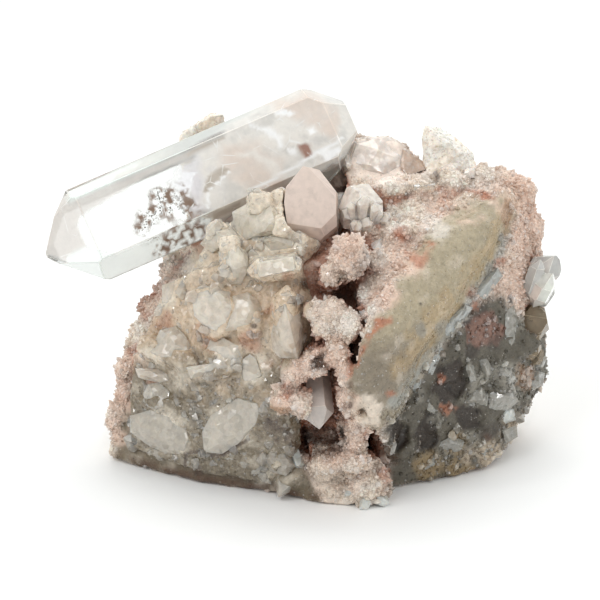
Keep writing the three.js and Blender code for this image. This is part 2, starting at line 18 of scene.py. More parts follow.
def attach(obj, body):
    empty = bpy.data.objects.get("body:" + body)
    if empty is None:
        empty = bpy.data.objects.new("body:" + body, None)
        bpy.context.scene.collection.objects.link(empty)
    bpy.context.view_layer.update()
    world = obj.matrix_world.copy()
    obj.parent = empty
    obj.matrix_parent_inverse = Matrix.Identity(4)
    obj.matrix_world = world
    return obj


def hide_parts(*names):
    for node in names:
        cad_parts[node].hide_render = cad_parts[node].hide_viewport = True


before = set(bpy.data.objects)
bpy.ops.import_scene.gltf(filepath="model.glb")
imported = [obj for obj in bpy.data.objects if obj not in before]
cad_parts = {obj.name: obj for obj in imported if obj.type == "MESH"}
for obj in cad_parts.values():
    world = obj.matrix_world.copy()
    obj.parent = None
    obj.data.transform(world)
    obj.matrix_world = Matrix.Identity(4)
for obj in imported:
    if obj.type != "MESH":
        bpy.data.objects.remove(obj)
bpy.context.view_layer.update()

bl_info = {
    "name": "Quartz Cluster",
    "version": (1, 0, 0),
    "blender": (4, 5, 0),
    "location": "View3D > Sidebar > Quartz Cluster",
    "description": "Builds the finished surfaces of a quartz cluster over its packed solids",
    "category": "Object",
}

MM = 0.001
ROOT = "root"

# Where the solids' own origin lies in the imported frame.
ORIGIN = np.array([-1.036, -3.197, 0]) * MM

# The front view: what it looks at, how far from it and how steeply down.
VIEW_TARGET = ORIGIN + np.array([0, 0, 33.6]) * MM
VIEW_DISTANCE = 700 * MM
VIEW_PITCH = math.radians(22)
VIEW_LENS = 210
VIEW_SENSOR = 36
VIEW_FORWARD = np.array([0, math.cos(VIEW_PITCH), -math.sin(VIEW_PITCH)])
VIEW_RIGHT = np.array([1.0, 0, 0])
VIEW_UP = np.cross(VIEW_RIGHT, VIEW_FORWARD)

TOUCHING = 0.001 * MM  # points nearer than this count as one

QUARTZ_IOR = 1.544
COLOURLESS = (0.985, 0.99, 0.985)
RHOMB_TILT = math.radians(51.8)  # from the axis of a quartz crystal to the normal of an end face
TIP_SHARE = 0.45  # where a small point's prism faces end, as a share of its height
BEVEL_PROFILE = 0.6

BEDS = ("matrix", "crystal_crust")  # the nodes that the other crystals stand on
GRAIN_GAP = 0.2 * MM  # kept free between the druse and the crystals that stand alone
GRAIN_LEAN = 1.4
GREY_PER_MM2 = 0.07  # stray crystals to the square millimetre of the grey face and of the crust
CRUST_PER_MM2 = 0.18
FROSTING_PER_MM2 = 1.6  # grains to the square millimetre of the cream blade and the pale lump
FROSTED_VOXEL = 0.35 * MM
GREY_BEVEL = 0.1 * MM
CRUST_BEVEL = 0.2 * MM
ROSE_BEVEL = 0.1 * MM

OPEN_REACH = 15 * MM  # how far a recess is felt for, with how many rays, in cells of what size
OPEN_RAYS = 24
OPEN_CELL = 1.5 * MM

RIM_SWAY = 2.2 * MM  # how far an outlined crystal's rim may stray in depth from its middle
ROOT_SHARE = 0.85  # width of its root, as a share of its outline
ROOT_DEPTH = 1.6 * MM


def paint(red, green, blue):
    """A colour given in 0 to 255 as shown on screen, in the linear values that shaders take."""
    shares = (c / 255 for c in (red, green, blue))
    return tuple(c / 12.92 if c < 0.04045 else ((c + 0.055) / 1.055) ** 2.4 for c in shares)


# ---- Chance and noise --------------------------------------------------------------------------


def unit(vectors):
    return vectors / np.maximum(np.linalg.norm(vectors, axis=-1, keepdims=True), 1e-12)


def cell_value(cells, seed):
    """A repeatable value from 0 to 1 for each whole-numbered cell."""
    mixed = cells[..., 0] * 73856093 ^ cells[..., 1] * 19349663 ^ cells[..., 2] * 83492791
    mixed = mixed ^ seed * 2654435
    mixed = (mixed ^ (mixed >> 13)) * 1274126177 & 0xFFFFFFFF
    mixed = (mixed ^ (mixed >> 15)) * 2246822519 & 0xFFFFFFFF
    return (mixed >> 8 & 0xFFFF) / 0xFFFF


def soft_noise(places, size, seed):
    """Smooth noise from -1 to 1 whose lumps are about `size` metres across."""
    spots = places / size
    cells = np.floor(spots).astype(np.int64)
    share = spots - cells
    share = share * share * (3 - 2 * share)
    total = np.zeros(len(places))
    for corner in np.ndindex(2, 2, 2):
        weight = np.prod(np.where(corner, share, 1 - share), axis=1)
        total += weight * cell_value(cells + np.array(corner), seed)
    return total * 2 - 1


def layered_noise(places, size, seed, layers=4, fade=0.5):
    return sum(soft_noise(places, size / 2**i, seed + i) * fade**i for i in range(layers)) / sum(
        fade**i for i in range(layers)
    )


def grain_field(places, size, seed):
    """For grains about `size` across: the distance to the nearest one's middle, in cell sizes, and
    its own value from 0 to 1."""
    spots = places / size
    cells = np.floor(spots).astype(np.int64)
    nearest = np.full(len(places), 9.0)
    value = np.zeros(len(places))
    for step in np.ndindex(3, 3, 3):
        cell = cells + np.array(step) - 1
        jitter = np.stack([cell_value(cell, seed + axis) for axis in range(3)], axis=1)
        distance = np.linalg.norm(cell + jitter - spots, axis=1)
        closer = distance < nearest
        value = np.where(closer, cell_value(cell, seed + 7), value)
        nearest = np.where(closer, distance, nearest)
    return nearest, value


def ramp(values, low, high):
    share = np.clip((values - low) / (high - low), 0, 1)
    return share * share * (3 - 2 * share)


def blend(under, over, share):
    """A table of colours moved towards other colours, each by its own share."""
    return under + (np.asarray(over) - under) * np.asarray(share)[:, None]


def between(under, over, share):
    """One colour between two."""
    return under + (np.asarray(over) - under) * share


def sway(places, size, seeds, layers=4):
    """Noise in two directions at once, to shift spots in the front view."""
    return np.stack([layered_noise(places, size, seed, layers) for seed in seeds], axis=1)


# ---- The front view as a map -------------------------------------------------------------------


def towards_front(normals, low, high):
    """0 for surfaces that lean from the front view by `low` and 1 for those that face it by `high`."""
    return ramp(-(normals @ VIEW_FORWARD), low, high)


def seen_from_front(places):
    """Millimetres right of and above the middle of the front view."""
    offset = places - VIEW_TARGET
    scale = 1 + offset @ VIEW_FORWARD / VIEW_DISTANCE
    return np.stack([offset @ VIEW_RIGHT, offset @ VIEW_UP], axis=1) / scale[:, None] / MM


def behind_front(right, up, depth):
    """The place that the front view shows at `right` and `up` millimetres, at that depth in metres
    beyond the view's target."""
    scale = 1 + depth / VIEW_DISTANCE
    return VIEW_TARGET + (VIEW_RIGHT * right + VIEW_UP * up) * MM * scale + VIEW_FORWARD * depth


def line_distance(line, spots):
    """Distance in millimetres from each spot to a line through the listed places."""
    corners = np.array(line, float)
    nearest = np.full(len(spots), 1e9)
    for a, b in zip(corners[:-1], corners[1:]):
        along = b - a
        share = np.clip((spots - a) @ along / (along @ along), 0, 1)
        nearest = np.minimum(nearest, np.linalg.norm(spots - a - share[:, None] * along, axis=1))
    return nearest


def outline_distance(outline, spots):
    """Distance in millimetres from each spot to a closed outline, negative inside it."""
    corners = np.array([*outline, outline[0]], float)
    nearest = line_distance(corners, spots)
    inside = np.zeros(len(spots), bool)
    for a, b in zip(corners[:-1], corners[1:]):
        along = b - a
        if a[1] != b[1]:
            crosses = (a[1] > spots[:, 1]) != (b[1] > spots[:, 1])
            inside ^= crosses & (spots[:, 0] < along[0] * (spots[:, 1] - a[1]) / along[1] + a[0])
    return np.where(inside, -nearest, nearest)


def spot_mask(rows, spots, soft=0.35):
    """1 on round spots given as (right, up, radius) in millimetres, and 0 away from them."""
    mask = np.zeros(len(spots))
    for right, up, radius in rows:
        distance = np.linalg.norm(spots - (right, up), axis=1) / radius
        mask = np.maximum(mask, 1 - ramp(distance, 1 - soft, 1 + soft))
    return mask


# ---- Meshes ------------------------------------------------------------------------------------


def points_of(mesh):
    found = np.empty(len(mesh.vertices) * 3, np.float32)
    mesh.vertices.foreach_get("co", found)
    return found.reshape(-1, 3).astype(float)


def normals_of(mesh):
    found = np.empty(len(mesh.vertices) * 3, np.float32)
    mesh.vertex_normals.foreach_get("vector", found)
    return found.reshape(-1, 3).astype(float)


def triangles_of(mesh):
    mesh.calc_loop_triangles()
    found = np.empty(len(mesh.loop_triangles) * 3, np.int32)
    mesh.loop_triangles.foreach_get("vertices", found)
    return found.reshape(-1, 3)


def place(mesh, points):
    mesh.vertices.foreach_set("co", np.asarray(points, np.float32).ravel())
    mesh.update()


def mesh_from(name, points, triangles):
    mesh = bpy.data.meshes.new(name)
    mesh.vertices.add(len(points))
    mesh.loops.add(len(triangles) * 3)
    mesh.polygons.add(len(triangles))
    mesh.loops.foreach_set("vertex_index", np.asarray(triangles, np.int32).ravel())
    mesh.polygons.foreach_set("loop_start", np.arange(len(triangles), dtype=np.int32) * 3)
    place(mesh, points)
    mesh.validate()
    return mesh


def set_tint(mesh, tints, domain="POINT"):
    """Stores a colour for each vertex or corner, which the shaders read as `tint`."""
    layer = mesh.attributes.new("tint", "FLOAT_COLOR", domain)
    alpha = np.ones((len(tints), 1))
    layer.data.foreach_set("color", np.hstack([tints, alpha]).astype(np.float32).ravel())


def set_share(mesh, name, values, domain="POINT"):
    """Stores a number for each vertex or corner, which the shaders read by that name."""
    layer = mesh.attributes.new(name, "FLOAT", domain)
    layer.data.foreach_set("value", np.asarray(values, np.float32))


def finished(name, mesh, material, replaced=(), smooth=False):
    """Puts a mesh in the scene as a piece of the cluster, in place of the listed nodes."""
    piece = bpy.data.objects.new(name, mesh)
    bpy.context.scene.collection.objects.link(piece)
    mesh.materials.clear()
    mesh.materials.append(material)
    mesh.polygons.foreach_set("use_smooth", np.full(len(mesh.polygons), smooth))
    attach(piece, ROOT)
    if replaced:
        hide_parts(*replaced)
    return piece


def remeshed(node, voxel):
    """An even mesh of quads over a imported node, as a new mesh."""
    helper = bpy.data.objects.new("helper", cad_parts[node].data.copy())
    bpy.context.scene.collection.objects.link(helper)
    weld = helper.modifiers.new("weld", "WELD")
    weld.merge_threshold = TOUCHING
    even = helper.modifiers.new("even", "REMESH")
    even.mode = "VOXEL"
    even.voxel_size = voxel
    depsgraph = bpy.context.evaluated_depsgraph_get()
    mesh = bpy.data.meshes.new_from_object(helper.evaluated_get(depsgraph))
    copied = helper.data
    bpy.data.objects.remove(helper)
    bpy.data.meshes.remove(copied)
    return mesh


def smoothed(points, edges, rounds):
    """The points after that many rounds of moving each to the mean of its neighbours."""
    count = len(points)
    degree = np.bincount(edges.ravel(), minlength=count)[:, None]
    for _ in range(rounds):
        total = np.empty_like(points)
        for axis in range(points.shape[1]):
            total[:, axis] = np.bincount(edges[:, 0], points[edges[:, 1], axis], count)
            total[:, axis] += np.bincount(edges[:, 1], points[edges[:, 0], axis], count)
        points = 0.5 * points + 0.5 * total / np.maximum(degree, 1)
    return points


def edges_of(mesh):
    found = np.empty(len(mesh.edges) * 2, np.int32)
    mesh.edges.foreach_get("vertices", found)
    return found.reshape(-1, 2)


class Surface:
    """A mesh's triangles with a tint at each corner, ready to be strewn with crystals."""

    def __init__(self, mesh, tints):
        self.points = points_of(mesh)
        self.normals = normals_of(mesh)
        self.triangles = triangles_of(mesh)
        self.tints = tints
        a, b, c = (self.points[self.triangles[:, i]] for i in range(3))
        self.areas = np.linalg.norm(np.cross(b - a, c - a), axis=1) / 2

    def strew(self, per_mm2, share, chance):
        """Random places with normals and tints: `per_mm2` to the square millimetre where the
        vertices' share is 1."""
        weight = self.areas * share[self.triangles].mean(axis=1)
        count = int(weight.sum() / MM**2 * per_mm2)
        picked = chance.choice(len(weight), count, p=weight / weight.sum())
        s = np.sqrt(chance.random(count))
        t = chance.random(count)
        mix = np.stack([1 - s, s * (1 - t), s * t], axis=1)
        corners = self.triangles[picked]
        tables = (self.points, self.normals, self.tints)
        roots, normals, tints = (np.einsum("nk,nkd->nd", mix, table[corners]) for table in tables)
        return roots, unit(normals), tints


# ---- Crystal shapes ----------------------------------------------------------------------------


def six_sided_point():
    """A quartz point of radius 1 with its root at -1 and its tip at 1, closed underneath."""
    around = np.arange(6) * math.pi / 3
    ring = np.stack([np.cos(around), np.sin(around)], axis=1)
    points = np.vstack(
        [
            np.column_stack([ring, np.full(6, -1.0)]),
            np.column_stack([ring, np.full(6, TIP_SHARE)]),
            [[0, 0, 1.0], [0, 0, -1.0]],
        ]
    )
    triangles = []
    for i in range(6):
        j = (i + 1) % 6
        triangles += [(i, j, j + 6), (i, j + 6, i + 6), (i + 6, j + 6, 12), (j, i, 13)]
    return points, np.array(triangles)


def double_point():
    """A stubby grain pointed at both ends, as in a sugary druse."""
    around = np.arange(6) * math.pi / 3
    points = np.vstack(
        [np.column_stack([np.cos(around), np.sin(around), np.zeros(6)]), [[0, 0, 1.0], [0, 0, -1.0]]]
    )
    triangles = []
    for i in range(6):
        j = (i + 1) % 6
        triangles += [(i, j, 6), (j, i, 7)]
    return points, np.array(triangles)


POINT_SHAPE = six_sided_point()
GRAIN_SHAPE = double_point()


def turns_along(axes, spins):
    """Rotation matrices that carry +Z to each axis, after a spin about it."""
    helper = np.where(np.abs(axes[:, 2:]) < 0.9, [[0.0, 0, 1]], [[1.0, 0, 0]])
    side = unit(np.cross(helper, axes))
    other = np.cross(axes, side)
    turned = side * np.cos(spins)[:, None] + other * np.sin(spins)[:, None]
    return np.stack([turned, np.cross(axes, turned), axes], axis=2)


def grown(shape, roots, axes, radii, lengths, chance, uneven=0.15):
    """Points and triangles of one copy of the shape for each root. `uneven` shifts the copies'
    corners, as a share of their radius, so that no two are alike."""
    points, triangles = shape
    count = len(roots)
    turns = turns_along(unit(axes), chance.random(count) * 2 * math.pi)
    local = np.repeat(points[None], count, axis=0)
    local = local + (chance.random(local.shape) - 0.5) * 2 * uneven * np.array([1, 1, 0.5])
    local = local * np.stack([radii, radii, lengths], axis=1)[:, None]
    world = np.einsum("nij,nkj->nki", turns, local) + roots[:, None]
    joined = triangles[None] + (np.arange(count) * len(points))[:, None, None]
    return world.reshape(-1, 3), joined.reshape(-1, 3)


def scattered_mesh(name, shape, roots, axes, radii, lengths, tints, chance, uneven=0.15):
    """One mesh of a copy of the shape for each root, each copy in its own tint."""
    points, triangles = grown(shape, roots, axes, radii, lengths, chance, uneven)
    mesh = mesh_from(name, points, triangles)
    set_tint(mesh, np.repeat(tints, len(shape[0]), axis=0))
    return mesh


# ---- Convex pieces -----------------------------------------------------------------------------


def hull_planes(node):
    """Outward normals and offsets of a packed convex node's faces."""
    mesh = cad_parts[node].data
    planes = []
    for polygon in mesh.polygons:
        normal = np.array(polygon.normal)
        offset = normal @ np.array(mesh.vertices[polygon.vertices[0]].co)
        if not any(abs(offset - o) < 0.01 * MM and normal @ n > 0.9999 for n, o in planes):
            planes.append((normal, offset))
    return np.array([n for n, _ in planes]), np.array([o for _, o in planes])


def depth_in(planes, places):
    """How deep each place lies inside a convex piece, in metres, negative outside it."""
    normals, offsets = planes
    return (offsets - places @ normals.T).min(axis=1)


def crossing(planes, right, up):
    """Where the front view's line of sight enters and leaves a convex piece, as depths beyond the
    view's target."""
    normals, offsets = planes
    start = behind_front(right, up, 0)
    along = behind_front(right, up, 10 * MM) - start
    speed = normals @ along / (10 * MM)
    reach = (offsets - normals @ start) / np.where(speed == 0, 1e-9, speed)
    return reach[speed < 0].max(), reach[speed > 0].min()


def quartz_planes(start, end, radius, spin=0.0, sides=(1,) * 6, top=(0,) * 6, bottom=(0,) * 6):
    """The faces of a six-sided crystal with two pointed ends, in millimetres. `sides` scales the
    distance from the axis to each side; `top` and `bottom` say how far each end face cuts in."""
    start, end = np.array(start, float), np.array(end, float)
    axis = unit(end - start)
    across = unit(np.cross(axis, [0, 0, 1.0] if abs(axis[2]) < 0.9 else [1.0, 0, 0]))
    other = np.cross(axis, across)
    planes = []
    for i in range(6):
        angle = spin + i * math.pi / 3
        outward = across * math.cos(angle) + other * math.sin(angle)
        rising = outward * math.sin(RHOMB_TILT) + axis * math.cos(RHOMB_TILT)
        falling = outward * math.sin(RHOMB_TILT) - axis * math.cos(RHOMB_TILT)
        planes.append((outward, outward @ start + radius * sides[i]))
        planes.append((rising, rising @ end - radius * top[i]))
        planes.append((falling, falling @ start - radius * bottom[i]))
    return np.array([n for n, _ in planes]), np.array([o for _, o in planes])


def uneven_quartz(start, end, radius, chance):
    """A quartz crystal whose sides and ends are as uneven as a natural one's."""
    sides = 0.72 + 0.36 * chance.random(6)
    ends = 0.4 * chance.random((2, 6)) ** 1.5
    return quartz_planes(start, end, radius, chance.random() * math.pi, sides, ends[0], ends[1])


TRIPLES = {}  # every choice of three planes, by how many planes there are


def corners_behind(planes):
    """The corners of the space behind all the planes, in millimetres."""
    normals, offsets = planes
    count = len(offsets)
    if count not in TRIPLES:
        TRIPLES[count] = np.array(list(itertools.combinations(range(count), 3)))
    triples = TRIPLES[count]
    matrices = normals[triples]
    solvable = np.abs(np.linalg.det(matrices)) > 1e-4
    rights = offsets[triples[solvable]][..., None]
    corners = np.linalg.solve(matrices[solvable], rights)[..., 0]
    inside = (corners @ normals.T <= offsets + 1e-5).all(axis=1)
    return np.unique(np.round(corners[inside], 4), axis=0)


class Crystals:
    """Flat-faced crystals gathered in one mesh, each with its own tint on its faces."""

    def __init__(self):
        self.built = bmesh.new()
        self.tint = self.built.faces.layers.float_color.new("tint")
        self.edge = self.built.faces.layers.float.new("edge")
        self.milk = self.built.faces.layers.float.new("milk")

    def add_corners(self, corners, tint, milk=None):
        """Adds the convex piece around the corners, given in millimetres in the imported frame.
        `milk` says how cloudy its faces are and how frosted."""
        if len(corners) < 4:
            return
        verts = [self.built.verts.new(corner) for corner in np.asarray(corners) * MM]
        hull = bmesh.ops.convex_hull(self.built, input=verts)
        faces = [part for part in hull["geom"] if isinstance(part, bmesh.types.BMFace)]
        unused = {
            v for v in hull["geom_interior"] + hull["geom_unused"] if isinstance(v, bmesh.types.BMVert)
        }
        for vert in unused:
            self.built.verts.remove(vert)
        edges = list(dict.fromkeys(edge for face in faces for edge in face.edges))
        verts = list(dict.fromkeys(vert for face in faces for vert in face.verts))
        for face in faces:
            face[self.tint] = (*tint, 1)
            if milk:
                face[self.milk], face[self.edge] = milk
        bmesh.ops.dissolve_limit(self.built, angle_limit=math.radians(2), verts=verts, edges=edges)

    def add(self, planes, tint, milk=None):
        self.add_corners(corners_behind(planes), tint, milk)

    def mesh(self, name, width, segments=1):
        """The finished mesh, with bevelled edges that are marked in `edge`, in a fixed order."""
        rounded = bmesh.ops.bevel(
            self.built,
            geom=list(self.built.edges),
            offset=width,
            segments=segments,
            profile=BEVEL_PROFILE,
            affect="EDGES",
            clamp_overlap=True,
        )
        for face in rounded["faces"]:
            face[self.edge] = 1
        bmesh.ops.recalc_face_normals(self.built, faces=self.built.faces)
        # Sorted by where they are, the parts come in the same order on every run.
        verts = sorted(self.built.verts, key=lambda vert: tuple(vert.co))
        for index, vert in enumerate(verts):
            vert.index = index
        rows = []
        for face in self.built.faces:
            corners = [vert.index for vert in face.verts]
            first = corners.index(min(corners))
            corners = corners[first:] + corners[:first]
            rows.append((corners, tuple(face[self.tint][:3]), face[self.edge], face[self.milk]))
        faces, tints, edges, milks = zip(*sorted(rows))
        mesh = bpy.data.meshes.new(name)
        mesh.from_pydata([vert.co.copy() for vert in verts], [], faces)
        self.built.free()
        set_tint(mesh, tints, "FACE")
        set_share(mesh, "edge", edges, "FACE")
        set_share(mesh, "milk", milks, "FACE")
        return mesh


# ---- Shaders -----------------------------------------------------------------------------------


class Shader:
    """A material with its Principled shader, and short calls for the nodes before it."""

    def __init__(self, name):
        self.material = bpy.data.materials.new(name)
        self.material.use_nodes = True
        self.tree = self.material.node_tree
        self.skin = self.tree.nodes["Principled BSDF"]
        self.end = self.tree.nodes["Material Output"]

    def set(self, **sockets):
        for name, value in sockets.items():
            socket = self.skin.inputs[name.replace("_", " ")]
            if isinstance(value, bpy.types.NodeSocket):
                self.tree.links.new(value, socket)
            elif socket.type == "RGBA":
                socket.default_value = (*value, 1)
            else:
                socket.default_value = value
        return self

    def node(self, kind, links=None, **values):
        made = self.tree.nodes.new(kind)
        for name, value in values.items():
            setattr(made, name, value)
        for name, value in (links or {}).items():
            socket = made.inputs[name]
            if isinstance(value, bpy.types.NodeSocket):
                self.tree.links.new(value, socket)
            else:
                socket.default_value = value
        return made

    def coordinates(self):
        return self.node("ShaderNodeTexCoord").outputs["Object"]

    def read(self, name, output="Fac"):
        return self.node("ShaderNodeAttribute", attribute_name=name).outputs[output]

    def noise(self, size, detail=3, roughness=0.55):
        """Noise with lumps about `size` metres across."""
        links = {
            "Vector": self.coordinates(), "Scale": 1 / size, "Detail": detail, "Roughness": roughness
        }
        return self.node("ShaderNodeTexNoise", links).outputs["Fac"]

    def cells(self, size, output="Distance", feature="F1"):
        links = {"Vector": self.coordinates(), "Scale": 1 / size}
        return self.node("ShaderNodeTexVoronoi", links, feature=feature).outputs[output]

    def remap(self, value, low, high, to_low, to_high):
        links = {"Value": value, "From Min": low, "From Max": high, "To Min": to_low, "To Max": to_high}
        return self.node("ShaderNodeMapRange", links).outputs["Result"]

    def math(self, operation, a, b=0.0):
        return self.node("ShaderNodeMath", {0: a, 1: b}, operation=operation).outputs[0]

    def mix(self, share, under, over, blend_type="MIX"):
        made = self.node("ShaderNodeMix", data_type="RGBA", blend_type=blend_type)
        for index, value in ((0, share), (6, under), (7, over)):
            if isinstance(value, bpy.types.NodeSocket):
                self.tree.links.new(value, made.inputs[index])
            elif isinstance(value, float):
                made.inputs[index].default_value = value
            else:
                made.inputs[index].default_value = (*value, 1)
        return made.outputs[2]

    def shaded(self, colour, value):
        """The colour times a grey value."""
        grey = self.node("ShaderNodeCombineColor", {0: value, 1: value, 2: value}).outputs[0]
        return self.mix(1.0, colour, grey, "MULTIPLY")

    def bump(self, height, distance, strength=1.0, normal=None):
        links = {"Height": height, "Distance": distance, "Strength": strength}
        if normal is not None:
            links["Normal"] = normal
        return self.node("ShaderNodeBump", links).outputs["Normal"]

    def facets(self, size, tilt, share=None):
        """A normal that leans its own way in each of many small cells, so that they glint."""
        colour = self.cells(size, "Color")
        centre = {0: colour, 1: (0.5, 0.5, 0.5)}
        centred = self.node("ShaderNodeVectorMath", centre, operation="SUBTRACT").outputs[0]
        scaled = self.node("ShaderNodeVectorMath", {0: centred, "Scale": tilt}, operation="SCALE")
        if share is not None:
            self.tree.links.new(self.math("MULTIPLY", share, tilt), scaled.inputs["Scale"])
        normal = self.node("ShaderNodeNewGeometry").outputs["Normal"]
        added = {0: normal, 1: scaled.outputs[0]}
        leaning = self.node("ShaderNodeVectorMath", added, operation="ADD").outputs[0]
        return self.node("ShaderNodeVectorMath", {0: leaning}, operation="NORMALIZE").outputs[0]

    def glinting(self, size, dull, bright, rarity):
        """A roughness that is low in a few of the cells that `facets` of the same size tilts."""
        chance = self.node("ShaderNodeSeparateColor", {0: self.cells(size, "Color")}).outputs[0]
        return self.remap(chance, rarity, rarity + 0.04, dull, bright)

    def absorb(self, colour, density):
        volume = self.node("ShaderNodeVolumeAbsorption", {"Color": (*colour, 1), "Density": density})
        self.tree.links.new(volume.outputs[0], self.end.inputs["Volume"])
        return self


def rock_finish(settings):
    """Drusy rock: its tint with fine speckles, glinting facets and a grainy relief."""
    s = Shader("drusy rock")
    sugar = s.read("sugar")
    mottled = s.shaded(s.read("tint", "Color"), s.remap(s.noise(1.3 * MM, 5), 0.3, 0.7, 0.8, 1.16))
    speck = s.remap(s.cells(0.55 * MM), 0.12, 0.24, 1.0, 0.0)
    rare = s.remap(s.noise(1.1 * MM, 2), 0.6, 0.68, 0.0, 0.5)
    colour = s.mix(s.math("MULTIPLY", speck, rare), mottled, settings.speck)
    pale = s.remap(s.cells(0.7 * MM), 0.1, 0.2, 0.55, 0.0)
    colour = s.mix(
        s.math("MULTIPLY", pale, s.remap(s.noise(2 * MM, 3), 0.5, 0.6, 0.0, 1.0)), colour, settings.white
    )
    grainy = s.bump(s.cells(0.5 * MM), 0.14 * MM, 0.6, s.facets(0.42 * MM, 0.9, sugar))
    relief = s.bump(s.noise(0.5 * MM, 5, 0.65), 0.2 * MM, 0.5, grainy)
    s.set(Base_Color=colour, Normal=relief, Roughness=s.glinting(0.42 * MM, 0.55, 0.12, 0.8))
    s.set(IOR=QUARTZ_IOR, Subsurface_Weight=0.15, Subsurface_Scale=0.7 * MM)
    s.skin.inputs["Subsurface Radius"].default_value = (1.0, 0.75, 0.6)
    return s.material


def grain_finish(name, clearness, roughness=0.14):
    """Tiny quartz crystals over the rock: their tint, part clear and part frosted."""
    s = Shader(name)
    frost = s.remap(s.noise(0.7 * MM, 3), 0.35, 0.65, 0.0, 1.0)
    s.set(Base_Color=s.read("tint", "Color"), IOR=QUARTZ_IOR)
    s.set(Roughness=s.remap(frost, 0.0, 1.0, roughness, roughness + 0.25))
    s.set(Transmission_Weight=s.remap(frost, 0.0, 1.0, clearness, clearness * 0.5))
    s.set(Normal=s.bump(s.noise(0.3 * MM, 3), 0.02 * MM, 0.3))
    return s.material


def waxy_finish(name, weight, depth, white, low=0.06, high=0.42):
    """Translucent quartz in bulk: light sinks in and comes back, under a glassy skin."""
    s = Shader(name)
    mottled = s.shaded(
        s.read("tint", "Color"), s.remap(s.noise(1.2 * MM, 6, 0.65), 0.35, 0.65, 0.8, 1.14)
    )
    wisps = s.remap(s.noise(0.6 * MM, 7, 0.75), 0.52, 0.64, 0.0, 0.6)
    relief = s.bump(s.noise(0.6 * MM, 4), 0.06 * MM, 0.5, s.facets(0.8 * MM, 0.6))
    paler = s.mix(0.45, s.read("tint", "Color"), white)
    s.set(Base_Color=s.mix(wisps, mottled, paler), Normal=relief, IOR=QUARTZ_IOR, Specular_IOR_Level=0.8)
    s.set(Roughness=s.glinting(0.8 * MM, high, low, 0.4))
    s.set(Subsurface_Weight=weight, Subsurface_Scale=depth)
    s.skin.inputs["Subsurface Radius"].default_value = (1.0, 0.8, 0.62)
    return s.material


def clear_finish(name, absorbed, density, roughness=0.02, relief=0.02, milky=None):
    """See-through crystal. `edge` says how frosted each face is, and on the bevelled edges gives a
    painted highlight; `milk` says how cloudy. The clouds are `milky` in a crystal of its faces' tint, or
    else take that tint in a colourless crystal."""
    s = Shader(name)
    dull = s.read("edge")
    tint = s.read("tint", "Color")
    share = s.read("milk")
    if milky:
        share = s.math("MULTIPLY", share, s.remap(s.noise(2.4 * MM, 6, 0.6), 0.3, 0.7, 0.85, 1.12))
    # Bevels, whose `edge` is 1, turn cloudy: a painted highlight along the edges. Lower values of `edge`
    # are frost on whole faces.
    share = s.math("MINIMUM", s.math("ADD", share, s.math("MULTIPLY", dull, 0.6)), 0.96)
    under, over = (tint, milky) if milky else (COLOURLESS, tint)
    wisps = s.remap(s.noise(1.2 * MM, 6, 0.65), 0.3, 0.7, 0.93, 1.06)
    colour = s.mix(share, under, s.shaded(over, wisps))
    if not milky:
        line = s.remap(s.cells(4.5 * MM, feature="DISTANCE_TO_EDGE"), 0.0, 0.025, 0.9, 0.0)
        line = s.math("MULTIPLY", line, s.remap(s.noise(3 * MM, 4), 0.48, 0.6, 0.0, 1.0))
        colour = s.mix(
            s.math("MULTIPLY", line, s.remap(share, 0.6, 0.85, 0.0, 1.0)), colour, (0.97, 0.97, 0.96)
        )
    s.set(Base_Color=colour, IOR=QUARTZ_IOR)
    s.set(Transmission_Weight=s.math("SUBTRACT", 1.0, share))
    s.set(Roughness=s.remap(dull, 0.0, 1.0, roughness, 0.5))
    s.set(Normal=s.bump(s.noise(1.5 * MM, 4), relief * MM, 1.0))
    s.absorb(absorbed, density)
    return s.material


def tinted_finish(name, absorbed, density, roughness, cloudiness, frost):
    """Cloudy crystals in their own tints, with painted highlights along their bevelled edges, and pale
    fractures.
    """
    s = Shader(name)
    tint = s.read("tint", "Color")
    dull = s.read("edge")
    lines = s.remap(s.cells(1.4 * MM, feature="DISTANCE_TO_EDGE"), 0.0, 0.06, 0.9, 0.0)
    fracture = s.math("MULTIPLY", lines, s.remap(s.noise(1.6 * MM, 4, 0.6), 0.52, 0.62, 0.0, 0.9))
    wisps = s.remap(s.noise(0.7 * MM, 7, 0.75), 0.5, 0.64, 0.0, 0.6)
    share = s.math("MINIMUM", s.math("ADD", s.math("MULTIPLY", dull, 0.25), cloudiness), 0.95)
    body = s.mix(
        share,
        s.mix(0.6, tint, (1.0, 1.0, 1.0)),
        s.shaded(tint, s.remap(s.noise(1.7 * MM, 6, 0.65), 0.35, 0.65, 0.76, 1.2)),
    )
    # A painted highlight along the bevelled edges; the fractures and wisps are the crystals' own pale
    # flaws.
    edges = s.math("MULTIPLY", dull, s.remap(s.noise(3 * MM, 3), 0.35, 0.55, 0.5, 1.0))
    light = s.math("MAXIMUM", s.math("MAXIMUM", fracture, wisps), edges)
    s.set(Base_Color=s.mix(light, body, s.mix(0.65, tint, frost)), IOR=QUARTZ_IOR, Specular_IOR_Level=1.0)
    s.set(Roughness=s.glinting(1.1 * MM, 0.25, roughness, 0.25))
    s.set(
        Transmission_Weight=s.math("SUBTRACT", 1.0, share),
        Normal=s.bump(s.noise(0.7 * MM, 4), 0.04 * MM, 1.0, s.facets(1.1 * MM, 0.5)),
    )
    s.set(Subsurface_Weight=0.5, Subsurface_Scale=1.2 * MM)
    s.skin.inputs["Subsurface Radius"].default_value = (1.0, 0.85, 0.7)
    s.absorb(absorbed, density)
    return s.material


# ---- Colour regions ----------------------------------------------------------------------------

